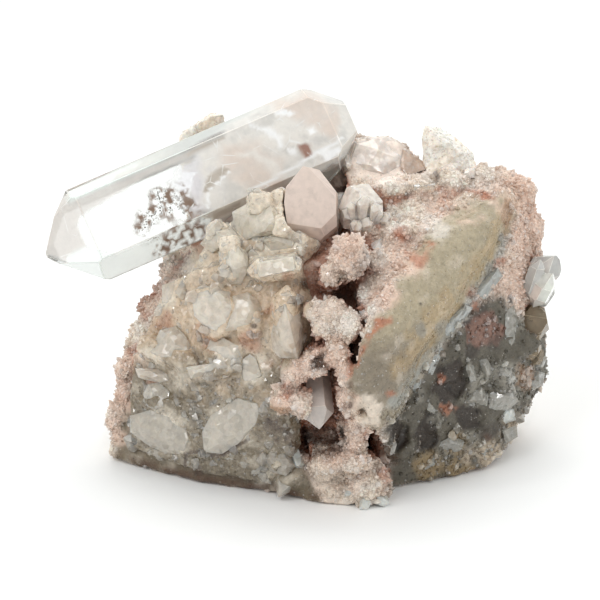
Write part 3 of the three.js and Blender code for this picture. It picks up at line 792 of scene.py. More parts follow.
# Outlines and spots as the front view shows them, in millimetres right of and above its middle.
LEDGE_OUTLINE = [
    (43.4, 20.6), (41, 21.6), (35, 19.6), (30, 18), (26, 13.6), (22, 9), (18.4, 3), (16.2, -2),
    (13.6, -6.4), (10, -12), (9, -16), (9.8, -20), (12.6, -24), (16, -25.4), (19, -23.4), (22, -18.6),
    (25.4, -13), (29.4, -7), (33.4, -1.2), (36.6, 4.4), (39.4, 10), (42.4, 16),
]
GREY_OUTLINE = [
    (17, -25), (21, -19.4), (26, -12.4), (31, -5.4), (35, -1), (40, 1), (44, -4), (49, -7), (52, -14.4),
    (36, -38), (18, -38),
]
PEAK_OUTLINE = [(9, 33), (22, 34), (26.6, 29), (25, 24.6), (17, 23.4), (10, 24)]
STRIP_OUTLINE = [(42.4, 27), (50, 27), (50, 5), (44, -3), (39.6, 2), (42.6, 12), (43.6, 20)]
CRUST_OUTLINE = [
    (-19, 16), (-6, 20), (2, 12), (1.6, -10), (-6, -17), (-2, -30), (6, -42), (-40, -42), (-34.6, -20),
]
LEDGE_FOOT = [(9, -11), (17, -8), (26, -8), (30, -6), (24, -15), (17, -27), (9, -24)]
STREAKS = {
    "ochre": (0.6, 2.6, [
        [(41.6, 18), (38, 11), (33.6, 4.6), (28, -0.6), (22.6, -7)], [(31, -2), (24, -9.5), (19, -14)],
    ]),
    "slate": (0.7, 1.5, [[(41, 12.4), (37.4, 5), (32.6, -2), (27.6, -8.8), (22.6, -15.6), (19, -21.4)]]),
    "rust": (0.85, 1.1, [
        [(17, -3.6), (13.6, -8), (10.6, -12.4), (8.6, -15)], [(20, 13), (22.5, 11.6)],
        [(28.4, 22.4), (29, 19.6)], [(31, 21), (35, 21.4), (38, 20.6)], [(19.6, 20.4), (25.4, 21.8)],
        [(-33.4, -3), (-28, 8), (-26.4, 12)],
    ]),
}
# Each row is a colour, its strength, and round spots of (right, up, radius). The brown rows are painted
# shade in the cleft's recesses, notches and crevices.
PATCHES = [
    ("white", 0.5, [(14, 8, 3), (12, 3, 2.4), (19, 16, 3), (24, 19, 3.4), (4, -2, 4), (8, -4, 3),
     (12, -1, 3), (28, 14, 2)]),
    ("white", 0.5, [(0, -21.6, 2.6), (9, -31.4, 3), (2.4, -14, 2), (-24, 7, 2.4), (-22, 5, 2),
     (33, 24, 3)]),
    ("peach", 0.8, [(8, 11, 4), (21, 8, 3.4), (17, 1, 2.4), (6, -11, 4), (1, -14, 3), (7, -30, 3.4),
     (12, -30, 2.6)]),
    ("peach", 0.7, [(9, -21, 3), (9, -25, 3), (-36, -20, 3), (-36, -26, 3), (-35, -14, 3), (42, 21, 4),
     (46, 12, 4)]),
    ("peach", 0.7, [(28, 20, 3), (34, 17, 2.4), (45, 24, 3), (46, 18, 3), (46, 3, 3), (24, 20.6, 2)]),
    ("rust", 0.7, [(20.4, 13.4, 1.5), (18.8, 19.4, 1.2), (23.6, 9.4, 2.2), (25.4, 10.4, 1.2),
     (-3, -18, 1.6), (18, -18.6, 1)]),
    ("rust", 0.5, [(28, -15.6, 0.8), (35, -1.4, 1), (29.4, -22, 0.8), (34, 1.6, 1.2), (39.4, 4, 0.8),
     (-31, -1, 2.6)]),
    ("rust", 0.6, [(-32.6, -10.6, 2), (-29.4, 2, 2), (16, 14.6, 1.2), (17, -35, 1.4), (13, -26.6, 1.4),
     (40, 8, 1.2)]),
    ("ice", 0.8, [(41, -15, 3), (43, -20, 2.6), (36, -16, 2.4), (35, -19.4, 2.2), (24, -5.6, 1.6),
     (29, -6, 2)]),
    ("ice", 0.6, [(48, -14, 2), (34, -29, 2.4), (29, -30, 2), (27, -24, 1.4), (24, -19, 1.6),
     (43, -5, 2)]),
    ("ochre", 0.6, [(26, -33, 3), (32, -33, 3), (38, -31, 3), (43, -26, 2.6), (31, -28.6, 2.4)]),
    ("brown", 0.7, [(24.6, 27.4, 2.4), (28.6, 27.2, 1.4), (27, 24.4, 1.2), (11.4, 6.4, 1.4),
     (5, 2, 1.6)]),
    ("brown", 0.9, [(4, -12.6, 1.8), (9.8, -20.6, 1.2), (5.4, -27.6, 4), (0, -26, 2.2), (2, -30, 2.4),
     (-2, -28, 2)]),
    ("brown", 0.7, [(2, -9, 1.2), (12, -25.4, 1.2), (16, -33.6, 1.2), (-2.6, -30, 1.6), (14.6, -30, 1)]),
    ("brown", 0.6, [(9.6, -16.6, 0.8), (-4, -24.6, 1.8), (18.6, -31.6, 1.4), (37, -27, 1)]),
    ("umber", 0.25, [(10, 8, 3.4), (8, -34, 3), (12, -34, 2.4), (3, -33, 2)]),
    ("brown", 0.6, [(12.8, 9, 1.2), (13, 6.6, 1), (11.6, 4, 1)]),
    ("cream", 0.4, [(43, -27, 3), (38, -31, 3), (46, -22, 2), (34, -31.6, 2)]),
    ("black", 0.8, [(23.6, -0.4, 0.35), (32.8, -4, 0.5), (17, 12.6, 0.4), (23.6, 11, 0.35),
     (42.2, 0.4, 0.45), (43.4, -3.4, 0.35)]),
    ("black", 0.7, [(29.4, -14.6, 0.5), (19.6, 15.4, 0.3), (13, 17, 0.3), (25.4, -2.6, 0.3),
     (9, 24.4, 0.5), (30.4, -17.6, 0.5)]),
]
# Smoky windows in the grey face, and the lowest knob in the cleft.
WINDOWS = [
    [(27.8, -12.6), (31.4, -11.6), (33.2, -13.4), (33.2, -17), (31.4, -20.2), (28.8, -20.8),
     (26.4, -18)],
    [(31, -21.6), (34.2, -20.8), (36.4, -22.6), (36, -25.2), (33.2, -26.2), (31.4, -24)],
    [(18, -25.8), (19.6, -24), (21.6, -25.2), (22, -28.4), (19.6, -30.2), (18.2, -28.4)],
    [(22.8, -26.6), (25.6, -21.6), (27.4, -23.4), (27.4, -28), (26, -30.2), (23.2, -29.8)],
]
LOW_KNOB = [
    (-6.8, -19.6), (-4, -18.8), (0.8, -20), (1, -22.8), (0, -24.2), (-3.6, -23.4), (-6.4, -22.8),
]
# Each row is a colour, its strength and the outline that it fills.
AREAS = [
    ("stone", 0.7, [(32.8, -4.4), (35, -3), (38.4, -2.4), (41, -6), (40, -9), (36, -9.4), (33.2, -8.6)]),
    ("window", 0.9, WINDOWS[0]),
    ("window", 0.85, WINDOWS[1]),
    ("window", 0.95, WINDOWS[2]),
    ("window", 0.85, WINDOWS[3]),
    ("window", 0.6, [(33.2, -1.6), (37, -0.8), (37.8, -2.6), (35, -4), (32.8, -4.4)]),
    ("window", 0.6, [(37.4, -7), (40.6, -7.6), (40, -9.8), (37.8, -9.8)]),
    ("window", 0.7, [(32.6, -9), (36, -9), (36, -11.4), (33, -11.4)]),
    ("window", 0.55, [(36, -25.2), (39.6, -24.8), (40.6, -26.2), (37.8, -28.4), (35, -28)]),
    ("umber", 0.6, [(43.2, -13), (47.4, -13.4), (48.2, -16.2), (45.6, -18.4), (42.4, -16.6)]),
    ("rust", 0.55, [(27.2, -15.2), (28.2, -14.2), (29, -15.6), (28.2, -17), (27.2, -16.6)]),
    ("rust", 0.5, [(28, -21), (30.6, -20.6), (31.4, -22.4), (29.4, -23.4), (27.8, -22.6)]),
    ("cream", 0.75, [(9.8, -20), (13, -18.6), (17, -21), (16, -25), (12, -25), (9.8, -23.4)]),
    ("cream", 0.85, [(2, -32.6), (3.4, -30.8), (10.4, -31.2), (14, -32.2), (14, -33.4), (10, -35.4),
     (4, -36), (2, -34)]),
    ("peach", 0.8, LOW_KNOB),
    # The low knob is darker on its lower half, and the brown row below it is painted shade in the recess
    # under the knob.
    ("umber", 0.9, [(-6.8, -21.6), (-4, -21.6), (0.8, -22), (1, -24), (0, -24.8), (-3.6, -24),
     (-6.4, -23.6)]),
    ("brown", 0.9, [(-8.4, -23.6), (-3.6, -23.8), (1.2, -24.6), (2, -31), (-2, -30.2), (-6.8, -26.4)]),
]
BROWN_LOZENGE = [(41, 20.4), (42.6, 19.8), (42.4, 16.4), (41.2, 14), (40.2, 16)]
# Each row is how far in millimetres the rock stands out towards the front view, how soft the edge
# is, and the outline there.
RELIEF = [
    (-3.5, 1.0, [(-0.6, -25.4), (4, -25), (9, -25.6), (9.6, -28.6), (4, -29.8), (-0.6, -29.4)]),
    (-2.5, 0.8, [(7, 6), (10, 6), (10, 0), (7, 0)]),
    (-2.0, 0.6, [(2, -11), (5, -11), (5, -14), (2, -14)]),
    (1.6, 0.6, LOW_KNOB),
    (-2.5, 0.6, [(-8.4, -24), (-3.6, -24.4), (1.2, -25.2), (2, -31), (-2, -30.2), (-6.8, -26.4)]),
    (1.8, 0.4, [(2, -32), (3.4, -30.8), (10.4, -30.8), (14, -31.6), (14, -33.4), (10, -35.2), (4, -35.8),
     (2, -34)]),
    (1.2, 0.8, [(10, -20), (13, -18.6), (17, -21), (15, -25), (11, -24.6)]),
    (0.9, 1.4, [(14, -6), (19, -17), (24, -15), (28, -8), (35, 2), (40, 12), (42, 18), (30, 16),
     (22, 8)]),
    (-1.6, 0.7, [(21, 29), (26, 29.4), (26.4, 26), (21.6, 26)]),
    (-0.9, 0.4, WINDOWS[0]),
    (-0.9, 0.4, WINDOWS[1]),
    (-1.2, 0.4, WINDOWS[2]),
    (-1.0, 0.4, WINDOWS[3]),
]
# Flat-faced crystals set in the rock: a colour, the outline, and the ridge as (right, up, rise).
ROCK_CRYSTALS = [
    ("peak_light", [(10, 32.3), (16, 31.8), (17, 32.8), (19.5, 32), (20.5, 29.5), (20.5, 26.5),
      (16.5, 25), (13, 25.5), (10, 27.5)],
     [(11.5, 31.2, 0.7), (15.5, 30.2, 1.2), (18, 28.2, 1.1), (14, 27, 0.9)]),
    ("peak_dark", [(20.5, 30.2), (24, 28), (25.4, 27.3), (25, 26), (21.5, 25), (20, 26.5)],
     [(21.6, 28.6, 0.7), (23.6, 27, 0.6)]),
    ("slate", [(34.2, 0.6), (36.6, 4), (39.6, 6.6), (40.6, 4.8), (37, 0.2)],
     [(36, 1.6, 0.9), (39, 5, 0.8)]),
    ("slate", [(27.8, -5.8), (30.6, -2.6), (33.2, -0.2), (34.6, -1.6), (29.6, -8)],
     [(29.6, -5.4, 0.9), (32.8, -1.6, 0.9)]),
    ("slate", [(25, -14.4), (27.8, -9), (28.8, -9.8), (26, -16.2)],
     [(26.4, -13, 0.7), (27.8, -10, 0.6)]),
    ("slate", [(22, -17.4), (24.6, -13.2), (25.4, -14.6), (23.2, -19.4)],
     [(23.2, -17, 0.8), (24.4, -14.6, 0.6)]),
    ("ice", [(41, -2.4), (42.8, -1), (44, -4), (43.6, -8), (42, -9.8), (41, -7)],
     [(42.2, -3, 0.8), (42.6, -7.6, 0.8)]),
    ("ice", [(33.2, -11.4), (34.8, -13.2), (35.8, -16.4), (34.2, -16.6), (33.2, -14)],
     [(34, -13.4, 0.7), (34.8, -15.6, 0.7)]),
    ("ice", [(35.4, -11.6), (37.4, -11.6), (38.8, -14.4), (37, -17), (36, -14.6)],
     [(37, -13, 0.9), (37.4, -15.2, 0.9)]),
    ("ice", [(32, -20.4), (34.2, -18.4), (36.4, -16.8), (37.8, -19), (37.4, -21.2), (35, -20.8)],
     [(34.4, -19.6, 0.9), (36.4, -18.4, 1.2), (36.6, -20, 0.9)]),
    ("ice", [(37.4, -17), (42, -17.6), (43.8, -20.2), (41, -22.6), (37.8, -21.6)],
     [(39, -18.6, 1.1), (42, -19.4, 1.2), (40, -21, 0.9)]),
    ("ice", [(39.6, -13), (42.4, -12.6), (43.2, -15.8), (41.4, -17.6), (39.2, -16.2)],
     [(40.6, -14, 1), (42, -15.4, 1.1)]),
    ("glint", [(40, -21.6), (42.8, -21.6), (43.2, -24), (41, -24.8), (39.6, -23.4)],
     [(41, -22.4, 1), (42, -23.4, 1)]),
    ("ice", [(47, -14), (49, -14.6), (48.6, -17), (46.4, -18.2), (45.8, -16)],
     [(47.4, -15.2, 0.8), (47.2, -16.8, 0.8)]),
    ("umber", [(43.4, -13.2), (46.4, -13), (47, -15.6), (45.4, -18), (43, -16.6)],
     [(44.4, -14.4, 0.8), (45.4, -16, 0.9)]),
    ("ice", [(27, -29), (30, -27.4), (33, -28), (32, -31), (28.4, -31.4)],
     [(28.8, -29, 0.8), (31.4, -29.4, 0.9)]),
    ("ice", [(24.4, -31.6), (27, -31), (27.6, -33.4), (25, -34)], [(26, -32.4, 0.7)]),
    ("ice", [(40.4, -26), (43.4, -25), (43.6, -27.4), (41.2, -28.8)], [(42, -26.6, 0.7)]),
    ("ice", [(35.4, -28.8), (38, -28), (39, -30), (36.6, -31.4)], [(37.2, -29.4, 0.7)]),
    ("ice", [(26, -19), (27.4, -20.6), (27.2, -23), (25.4, -22)], [(26.4, -21, 0.6)]),
    ("peak_light", [(5.4, 27.2), (9.8, 27.4), (10.4, 23.4), (8.4, 20.8), (5.6, 22.4)],
     [(7.2, 25.6, 5), (8.6, 23, 5)]),
    ("white", [(5.6, 21.2), (8.8, 21.6), (9.2, 16.4), (7.4, 12), (5.4, 15)],
     [(7, 19, 4.4), (7.8, 15.4, 4)]),
    ("peak_light", [(7, 33), (10.5, 32.5), (12.5, 28), (11, 25), (8, 24), (6.6, 28)],
     [(8.6, 30.4, 3.4), (9.6, 26.6, 3.4)]),
    ("glint", [(12, -40), (13.2, -39.2), (14.4, -40.6), (13.4, -42), (11.8, -41.8)],
     [(13, -40.4, 1), (13.2, -41.2, 0.8)]),
    ("glint", [(15.4, -39.4), (17.4, -39), (18, -40.6), (16.8, -41.4), (15.2, -40.8)],
     [(16.2, -39.8, 1), (16.8, -40.6, 0.9)]),
    ("glint", [(8, -37.6), (9.6, -37), (10.6, -38.4), (9.2, -39.8), (7.8, -39)], [(9, -38, 0.9)]),
    ("glint", [(-2.6, -27.6), (-0.8, -28.6), (1, -33), (-0.6, -34), (-2.4, -31.6)],
     [(-1, -30, 0.9), (-0.4, -32, 1)]),
    ("white", [(11.6, -2), (12.4, -1), (14.4, -4.6), (13.6, -5.4)], [(13, -3.2, 0.8)]),
    ("white", [(24.6, 14.4), (27.4, 15.2), (28, 14), (25.4, 12.8)], [(26.4, 14, 0.7)]),
    ("white", [(14, 11.4), (16.2, 12.4), (16.6, 10.4), (14.8, 9.6)], [(15.4, 11, 0.9)]),
    ("white", [(22.2, 23), (27, 23.4), (27.4, 22.2), (22.6, 21.6)],
     [(23.4, 22.6, 0.9), (26.4, 22.8, 0.8)]),
    ("peak_light", [(28, 26.4), (30.4, 27.6), (31.6, 25.6), (29.4, 24.4)], [(29.8, 26, 0.8)]),
    ("peak_light", [(33, 27), (35.4, 26.6), (35, 24.4), (32.6, 24.6)], [(34, 25.8, 0.8)]),
]
# Cracks and dark seams in the glassy crust, as lines.
CRACKS = [
    [(-22.6, -30.4), (-22.8, -32.8)],
    [(-21.8, -30.4), (-19.6, -30.2)],
    [(-19.4, -31), (-15.6, -31.2), (-12.8, -29.2), (-10.4, -27.8)],
    [(-28, -35), (-20, -36.8), (-12, -38.4), (-4, -40.4)],
]
CRUST_PATCHES = [
    ("rust", 0.6, [(-31, -4, 2.2), (-27, -4.4, 2), (-9.8, -8, 2.2), (-18, -8.8, 1.5), (-33, -12.4, 2.4),
     (-29.4, -16, 1.4)]),
    ("rust", 0.5, [(-29, 2, 2.4), (-20, -6.4, 1.6), (-6.6, -13, 1.2), (-11, -24, 1), (-6, -2, 1),
     (-2, 5, 1.2), (-25, 9, 2)]),
    ("brown", 0.8, [(-9.2, -5, 0.7), (-20.4, -34, 1.1), (1, 3.4, 1), (-0.4, -0.6, 0.9),
     (-5.6, -25.4, 1.6), (-17, -11.4, 0.6)]),
    # Painted shade where the crust meets the cleft.
    ("brown", 0.8, [(-3, -27, 2), (-7, -24.8, 1), (-1.4, -29.4, 1.2), (-4.6, -28, 1.2)]),
    ("pale", 0.7, [(-22, -15, 3.4), (-9, -13.6, 3), (-26, -27, 4), (-14, -25, 4), (-4, 14, 4),
     (-12, 17, 3), (-3, 12, 3)]),
    ("pale", 0.6, [(-24, 10, 2.4), (-30, -12, 3), (-27, 0.4, 2), (-14, -11, 3), (-28, -24, 3),
     (-3, -34, 3), (-6, -38, 3)]),
    ("honey", 0.8, [(-16.4, 8, 2.6), (-16.6, 4.6, 1.8), (-6.4, 2.2, 3), (-4, 0, 2), (-22, -7.6, 2.4),
     (-23.6, -3, 2), (-29.6, -3, 2)]),
    ("honey", 0.6, [(-3, 10.6, 2), (-8, -19, 2.4), (-14, -17.4, 3), (-20, -17.6, 3), (2, 11.6, 2.4),
     (4.4, 11.8, 2), (-10, 11, 2)]),
]


def patched(tints, rows, spots, facing, settings, rough):
    """Lays each row's spots over the tints, with ragged edges."""
    for colour, strength, spots_there in rows:
        mask = spot_mask(spots_there, spots) * ramp(rough, -0.6, 0.1)
        tints = blend(tints, getattr(settings, colour), strength * mask * facing)
    return tints


def glassy_tints(settings, places, cavity):
    """The colour of the glassy crust at each place: pale at the top, honey in the middle and olive
    further down, with painted shade at its foot and dark seams."""
    true_spots = seen_from_front(places)
    spots = true_spots + sway(places, 3 * MM, (231, 241)) * 1.3
    fine = layered_noise(places, 2.4 * MM, 233, 4)
    up = spots[:, 1] + 2 * fine
    tints = blend(np.tile(settings.honey, (len(places), 1)), settings.pale, 0.8 * ramp(up, 0, 10))
    tints = blend(tints, settings.olive, ramp(-up, 4, 18))
    # Painted shade: darkest at the crust's foot, where its underside curves in.
    tints = blend(tints, settings.deep, ramp(-up, 29, 37))
    tints = blend(tints, settings.pale, 0.35 * ramp(fine, 0.0, 0.5))
    tints = patched(tints, CRUST_PATCHES, spots, np.ones(len(places)), settings, fine)
    tints = blend(tints, settings.rust, 0.4 * ramp(cavity, 0.08, 0.4))
    wavy = true_spots + fine[:, None] * 0.6
    seam = 1 - ramp(np.min([line_distance(line, wavy) for line in CRACKS], axis=0), 0.15, 0.6)
    return blend(tints, settings.brown, 0.85 * seam)


def rock_tints(settings, glassy, places, normals, cavity, openness):
    """The colour of each vertex of the rock, with painted shade in its recesses and along the crust's
    foot, and its shares of each kind of surface.
    """
    warp = sway(places, 4 * MM, (31, 41), 3)
    true_spots = seen_from_front(places)
    jag = sway(places, 1.2 * MM, (35, 45), 2)
    spots = true_spots + warp * 1.4 + jag * 0.8
    near_spots = true_spots + warp * 0.9 + jag * 0.9
    facing = towards_front(normals, -0.25, 0.15)
    broad = layered_noise(places, 9 * MM, 51, 4)
    fine = layered_noise(places, 2.6 * MM, 61, 4)

    def region(outline, soft=1.2):
        return facing * (1 - ramp(outline_distance(outline, spots), -soft, soft))

    kinds = {
        "ledge": region(LEDGE_OUTLINE, 1.0),
        "grey": region(GREY_OUTLINE, 1.5),
        "peak": region(PEAK_OUTLINE, 1.0),
        "strip": region(STRIP_OUTLINE, 1.5),
        "glassy": region(CRUST_OUTLINE, 1.2),
    }
    tints = blend(np.tile(settings.pink, (len(places), 1)), settings.cream, ramp(broad, -0.25, 0.3))
    tints = blend(tints, settings.white, 0.5 * ramp(fine, 0.05, 0.5))
    rusty = ramp(layered_noise(places, 5 * MM, 71, 5, 0.6), 0.14, 0.42)
    tints = blend(tints, settings.rust, 0.55 * rusty * ramp(cavity, -0.1, 0.25))
    stained = ramp(layered_noise(places, 14 * MM, 75, 5, 0.6), 0.0, 0.3)
    tints = blend(tints, settings.umber, 0.5 * (1 - facing) * stained)
    tints = blend(tints, settings.peak_light, 0.8 * kinds["peak"])
    tints = blend(tints, settings.peach, 0.5 * kinds["strip"])
    tints = blend(tints, glassy_tints(glassy, places, cavity), kinds["glassy"])
    tints = blend(tints, settings.grey, kinds["grey"])
    tints = blend(tints, settings.ledge, kinds["ledge"])
    # Painted shade on the ledge's lower end, which turns away from the light.
    tints = blend(tints, settings.ledge_foot_shade, 0.85 * kinds["ledge"] * region(LEDGE_FOOT, 4.0))
    tints = blend(tints, settings.cream, 0.3 * kinds["ledge"] * ramp(fine, 0.1, 0.5))
    for colour, (strength, width, lines) in STREAKS.items():
        nearest = np.min([line_distance(line, spots) for line in lines], axis=0)
        mask = (1 - ramp(nearest, 0.25 * width, width)) * facing * ramp(fine, -0.5, 0.1)
        tints = blend(tints, getattr(settings, colour), strength * mask)
    for colour, strength, outline in AREAS:
        mask = facing * (1 - ramp(outline_distance(outline, near_spots), -0.3, 0.3))
        tints = blend(tints, getattr(settings, colour), strength * mask)
    tints = patched(tints, PATCHES, spots, facing, settings, fine)
    lozenge = facing * (1 - ramp(outline_distance(BROWN_LOZENGE, true_spots), -0.3, 0.4))
    tints = blend(tints, settings.umber, 0.8 * lozenge)
    # Painted shade along the crust's foot, where the rock's underside curves in.
    rim = kinds["glassy"] * (1 - ramp(places[:, 2], 1.2 * MM, 3.4 * MM)) * ramp(fine, -0.6, 0.1)
    tints = blend(tints, settings.brown, 0.8 * rim)

    plain = 1 - np.clip(kinds["ledge"] + kinds["grey"] + kinds["peak"], 0, 1)
    closed = 1 - openness
    rusty = plain * ramp(closed, 0.45, 0.75) * (1 - ramp(fine, 0.2, 0.6))
    tints = blend(tints, settings.rust, 0.75 * rusty)
    # Painted shade: brown deep in the closed recesses, then every tint darkened in hollows.
    tints = blend(tints, settings.brown, 0.3 * plain * ramp(closed, 0.65, 0.95))
    tints = tints * (1 - 0.35 * ramp(cavity, 0.0, 0.5))[:, None]
    return tints, kinds


def front_relief(places, normals):
    """How far each place of the rock is pushed towards the front view, in metres."""
    spots = seen_from_front(places) + sway(places, 2 * MM, (36, 46), 3) * 0.6
    height = np.zeros(len(places))
    for rise, soft, outline in RELIEF:
        height += rise * MM * (1 - ramp(outline_distance(outline, spots), -soft, soft))
    return height * towards_front(normals, 0.1, 0.4)


def tree_of(nodes):
    """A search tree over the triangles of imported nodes."""
    corners, triangles = [], []
    for node in nodes:
        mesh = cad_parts[node].data
        triangles += (triangles_of(mesh) + sum(len(c) for c in corners)).tolist()
        corners.append(points_of(mesh))
    return BVHTree.FromPolygons(np.vstack(corners).tolist(), triangles)


def depth_seen(tree, spots):
    """How deep beyond the view's target the front view meets a surface at each spot, in metres, or
    the other spots' mean where it passes by."""
    depths = []
    for right, up in spots:
        start = behind_front(right, up, -100 * MM)
        way = unit(behind_front(right, up, 0) - start)
        hit = tree.ray_cast(Vector(start), Vector(way))[0]
        depths.append(math.nan if hit is None else (np.array(hit) - VIEW_TARGET) @ VIEW_FORWARD)
    depths = np.array(depths)
    return np.where(np.isnan(depths), np.nanmean(depths), depths)


def outlined(tree, outline, ridge, relief=1.0):
    """The corners, in millimetres, of a crystal that shows this outline in the front view: its rim
    lies on the surface and its ridge stands out from it, `relief` times as far as listed."""
    rim = depth_seen(tree, outline)
    middle = np.median(rim)
    rim = np.clip(rim, middle - RIM_SWAY, middle + RIM_SWAY)
    crest = np.minimum(depth_seen(tree, [row[:2] for row in ridge]), middle)
    centre = np.mean(outline, axis=0)
    corners = [behind_front(*spot, depth) for spot, depth in zip(outline, rim)]
    corners += [behind_front(*row[:2], depth - row[2] * relief * MM) for row, depth in zip(ridge, crest)]
    root = centre + (np.array(outline) - centre) * ROOT_SHARE
    corners += [behind_front(*spot, middle + ROOT_DEPTH) for spot in root]
    return np.array(corners) / MM


def faceted(corners, chance, cuts=5):
    """The corners, in millimetres, of a convex piece with a few more flat faces cut on its front."""
    built = bmesh.new()
    verts = [built.verts.new(corner) for corner in corners]
    bmesh.ops.convex_hull(built, input=verts)
    for _ in range(cuts):
        way = unit(-VIEW_FORWARD + chance.normal(size=3) * 0.5)
        offset = max(np.array(vert.co) @ way for vert in built.verts) - 0.2 - 0.55 * chance.random()
        parts = [*built.verts, *built.edges, *built.faces]
        bmesh.ops.bisect_plane(built, geom=parts, plane_co=way * offset, plane_no=way, clear_outer=True)
    left = np.array([vert.co for vert in built.verts])
    built.free()
    return left


def openness_of(points, normals):
    """For each point, the share of directions above it that meet no part of the cluster nearby,
    worked out once for each small cell."""
    tree = tree_of(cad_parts)
    keys = np.floor(points / OPEN_CELL).astype(np.int64) * 4 + np.rint(normals * 1.2).astype(np.int64)
    _, first, owner = np.unique(keys, axis=0, return_index=True, return_inverse=True)
    chance = np.random.default_rng(7)
    directions = unit(chance.normal(size=(OPEN_RAYS, 3)))
    found = np.empty(len(first))
    for i, index in enumerate(first):
        normal = normals[index]
        start = Vector(points[index] + normal * 1.2 * MM)
        above = directions * np.where(directions @ normal < 0, -1, 1)[:, None]
        clear = [tree.ray_cast(start, Vector(way), OPEN_REACH)[0] is None for way in above]
        found[i] = sum(clear) / OPEN_RAYS
    return found[owner.ravel()]


# ---- Host rock ---------------------------------------------------------------------------------


def tone(name, description, value):
    return FloatVectorProperty(name=name, description=description, default=value, subtype="COLOR")


class RockSettings(bpy.types.PropertyGroup):
    voxel: FloatProperty(
        name="Voxel", description="Grain of the rock's mesh", default=0.6 * MM, unit="LENGTH"
    )
    lump: FloatProperty(
        name="Lump height", description="Relief of the broken rock", default=0.8 * MM, unit="LENGTH"
    )
    pink: tone("Pink druse", "Colour of the druse", paint(232, 210, 195))
    peach: tone("Peach druse", "Warmer patches", paint(228, 198, 180))
    cream: tone("Cream druse", "Paler patches", paint(234, 219, 203))
    white: tone("Frosting", "Palest crystals", paint(238, 231, 224))
    rust: tone("Rust", "Iron stain", paint(178, 112, 82))
    # Painted shade: this brown darkens the rock's closed recesses, its cleft, notches and crevices, and
    # the foot of the crust.
    brown: tone("Recesses", "Deep stain", paint(88, 60, 44))
    black: tone("Black specks", "Dark grains", paint(30, 24, 22))
    umber: tone("Umber", "Brown chips", paint(164, 130, 102))
    ledge: tone("Ledge", "Smooth cream ledge", paint(171, 158, 133))
    # Painted shade for the ledge's lower end.
    ledge_foot_shade: tone("Ledge foot", "Darker lower end of the ledge", paint(128, 117, 102))
    ochre: tone("Ochre", "Yellow streaks", paint(172, 146, 106))
    slate: tone("Slate", "Blue-grey streak", paint(160, 162, 158))
    grey: tone("Grey face", "Translucent face", paint(93, 87, 75))
    ice: tone("Pale grey", "Clear crystals in the grey face", paint(148, 143, 132))
    glint: tone("Clear", "Clearest small crystals", paint(214, 216, 210))
    stone: tone("Red-grey", "Speckled patch in the grey face", paint(144, 104, 90))
    window: tone("Windows", "Smoky windows", paint(50, 39, 31))
    speck: tone("Specks", "Dark specks", paint(110, 82, 66))
    peak_light: tone("Peak", "Translucent crystals at the top", paint(244, 229, 218))
    peak_dark: tone("Peak stain", "Stained crystals at the top", paint(196, 166, 144))


class CLUSTER_OT_rock(bpy.types.Operator):
    """Builds the host rock with its druse"""

    bl_idname = "cluster.rock"
    bl_label = "Host Rock"

    def execute(self, context):
        settings = context.scene.quartz_cluster.rock
        glassy = context.scene.quartz_cluster.crust
        mesh = remeshed("matrix", settings.voxel)
        edges = edges_of(mesh)
        points = smoothed(points_of(mesh), edges, 2)
        place(mesh, points)
        normals = normals_of(mesh)
        plain = np.zeros(len(points))
        _, kinds = rock_tints(settings, glassy, points, normals, plain, plain + 1)
        calm = np.clip(kinds["ledge"] + kinds["peak"] + 0.7 * kinds["glassy"], 0, 1)
        soft = smoothed(points, edges, 10)
        points = points + (soft - points) * np.clip(calm + 0.5 * kinds["grey"], 0, 1)[:, None]
        place(mesh, points)
        normals = normals_of(mesh)
        openness = smoothed(openness_of(points, normals)[:, None], edges, 3)[:, 0]

        nearest, _ = grain_field(points, 2.4 * MM, 81)
        small, _ = grain_field(points, 1.1 * MM, 83)
        _, block = grain_field(points, 4.2 * MM, 85)
        sugary = (0.5 - nearest) * 0.5 * MM + (0.5 - small) * 0.3 * MM
        behind = ramp(normals @ VIEW_FORWARD, 0.0, 0.4)
        sugary += layered_noise(points, 7 * MM, 91, 5, 0.55) * settings.lump * (1 + 1.2 * behind)
        blocky = (block - 0.5) * 0.9 * MM + (0.5 - small) * 0.25 * MM
        gentle = layered_noise(points, 8 * MM, 95) * 0.8 * MM
        gentle += layered_noise(points, 1.6 * MM, 97, 3) * 0.16 * MM
        relief = sugary * np.clip(1 - calm - kinds["grey"], 0, 1) + blocky * kinds["grey"] + gentle * calm
        moved = points + normals * relief[:, None] - VIEW_FORWARD * front_relief(points, normals)[:, None]
        moved[:, 2] = np.maximum(moved[:, 2], 0)
        place(mesh, moved)
        normals = normals_of(mesh)
        cavity = ((smoothed(moved, edges, 6) - moved) * normals).sum(axis=1) / MM
        tints, kinds = rock_tints(settings, glassy, moved, normals, cavity, openness)
        sugar = np.clip(1 - kinds["ledge"] - kinds["peak"] - kinds["grey"] - kinds["glassy"], 0, 1)
        set_tint(mesh, tints)
        set_share(mesh, "sugar", sugar)
        finished("host_rock", mesh, rock_finish(settings), ["matrix"], smooth=True)
        grow_druse(settings, Surface(mesh, tints), sugar, kinds, openness)
        return {"FINISHED"}


def free_of_crystals(points, margin):
    """Whether each point lies at least `margin` outside the crystals that stand alone."""
    planes = [hull_planes(node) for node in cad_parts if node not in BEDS]
    return np.all([depth_in(faces, points) < -margin for faces in planes], axis=0)


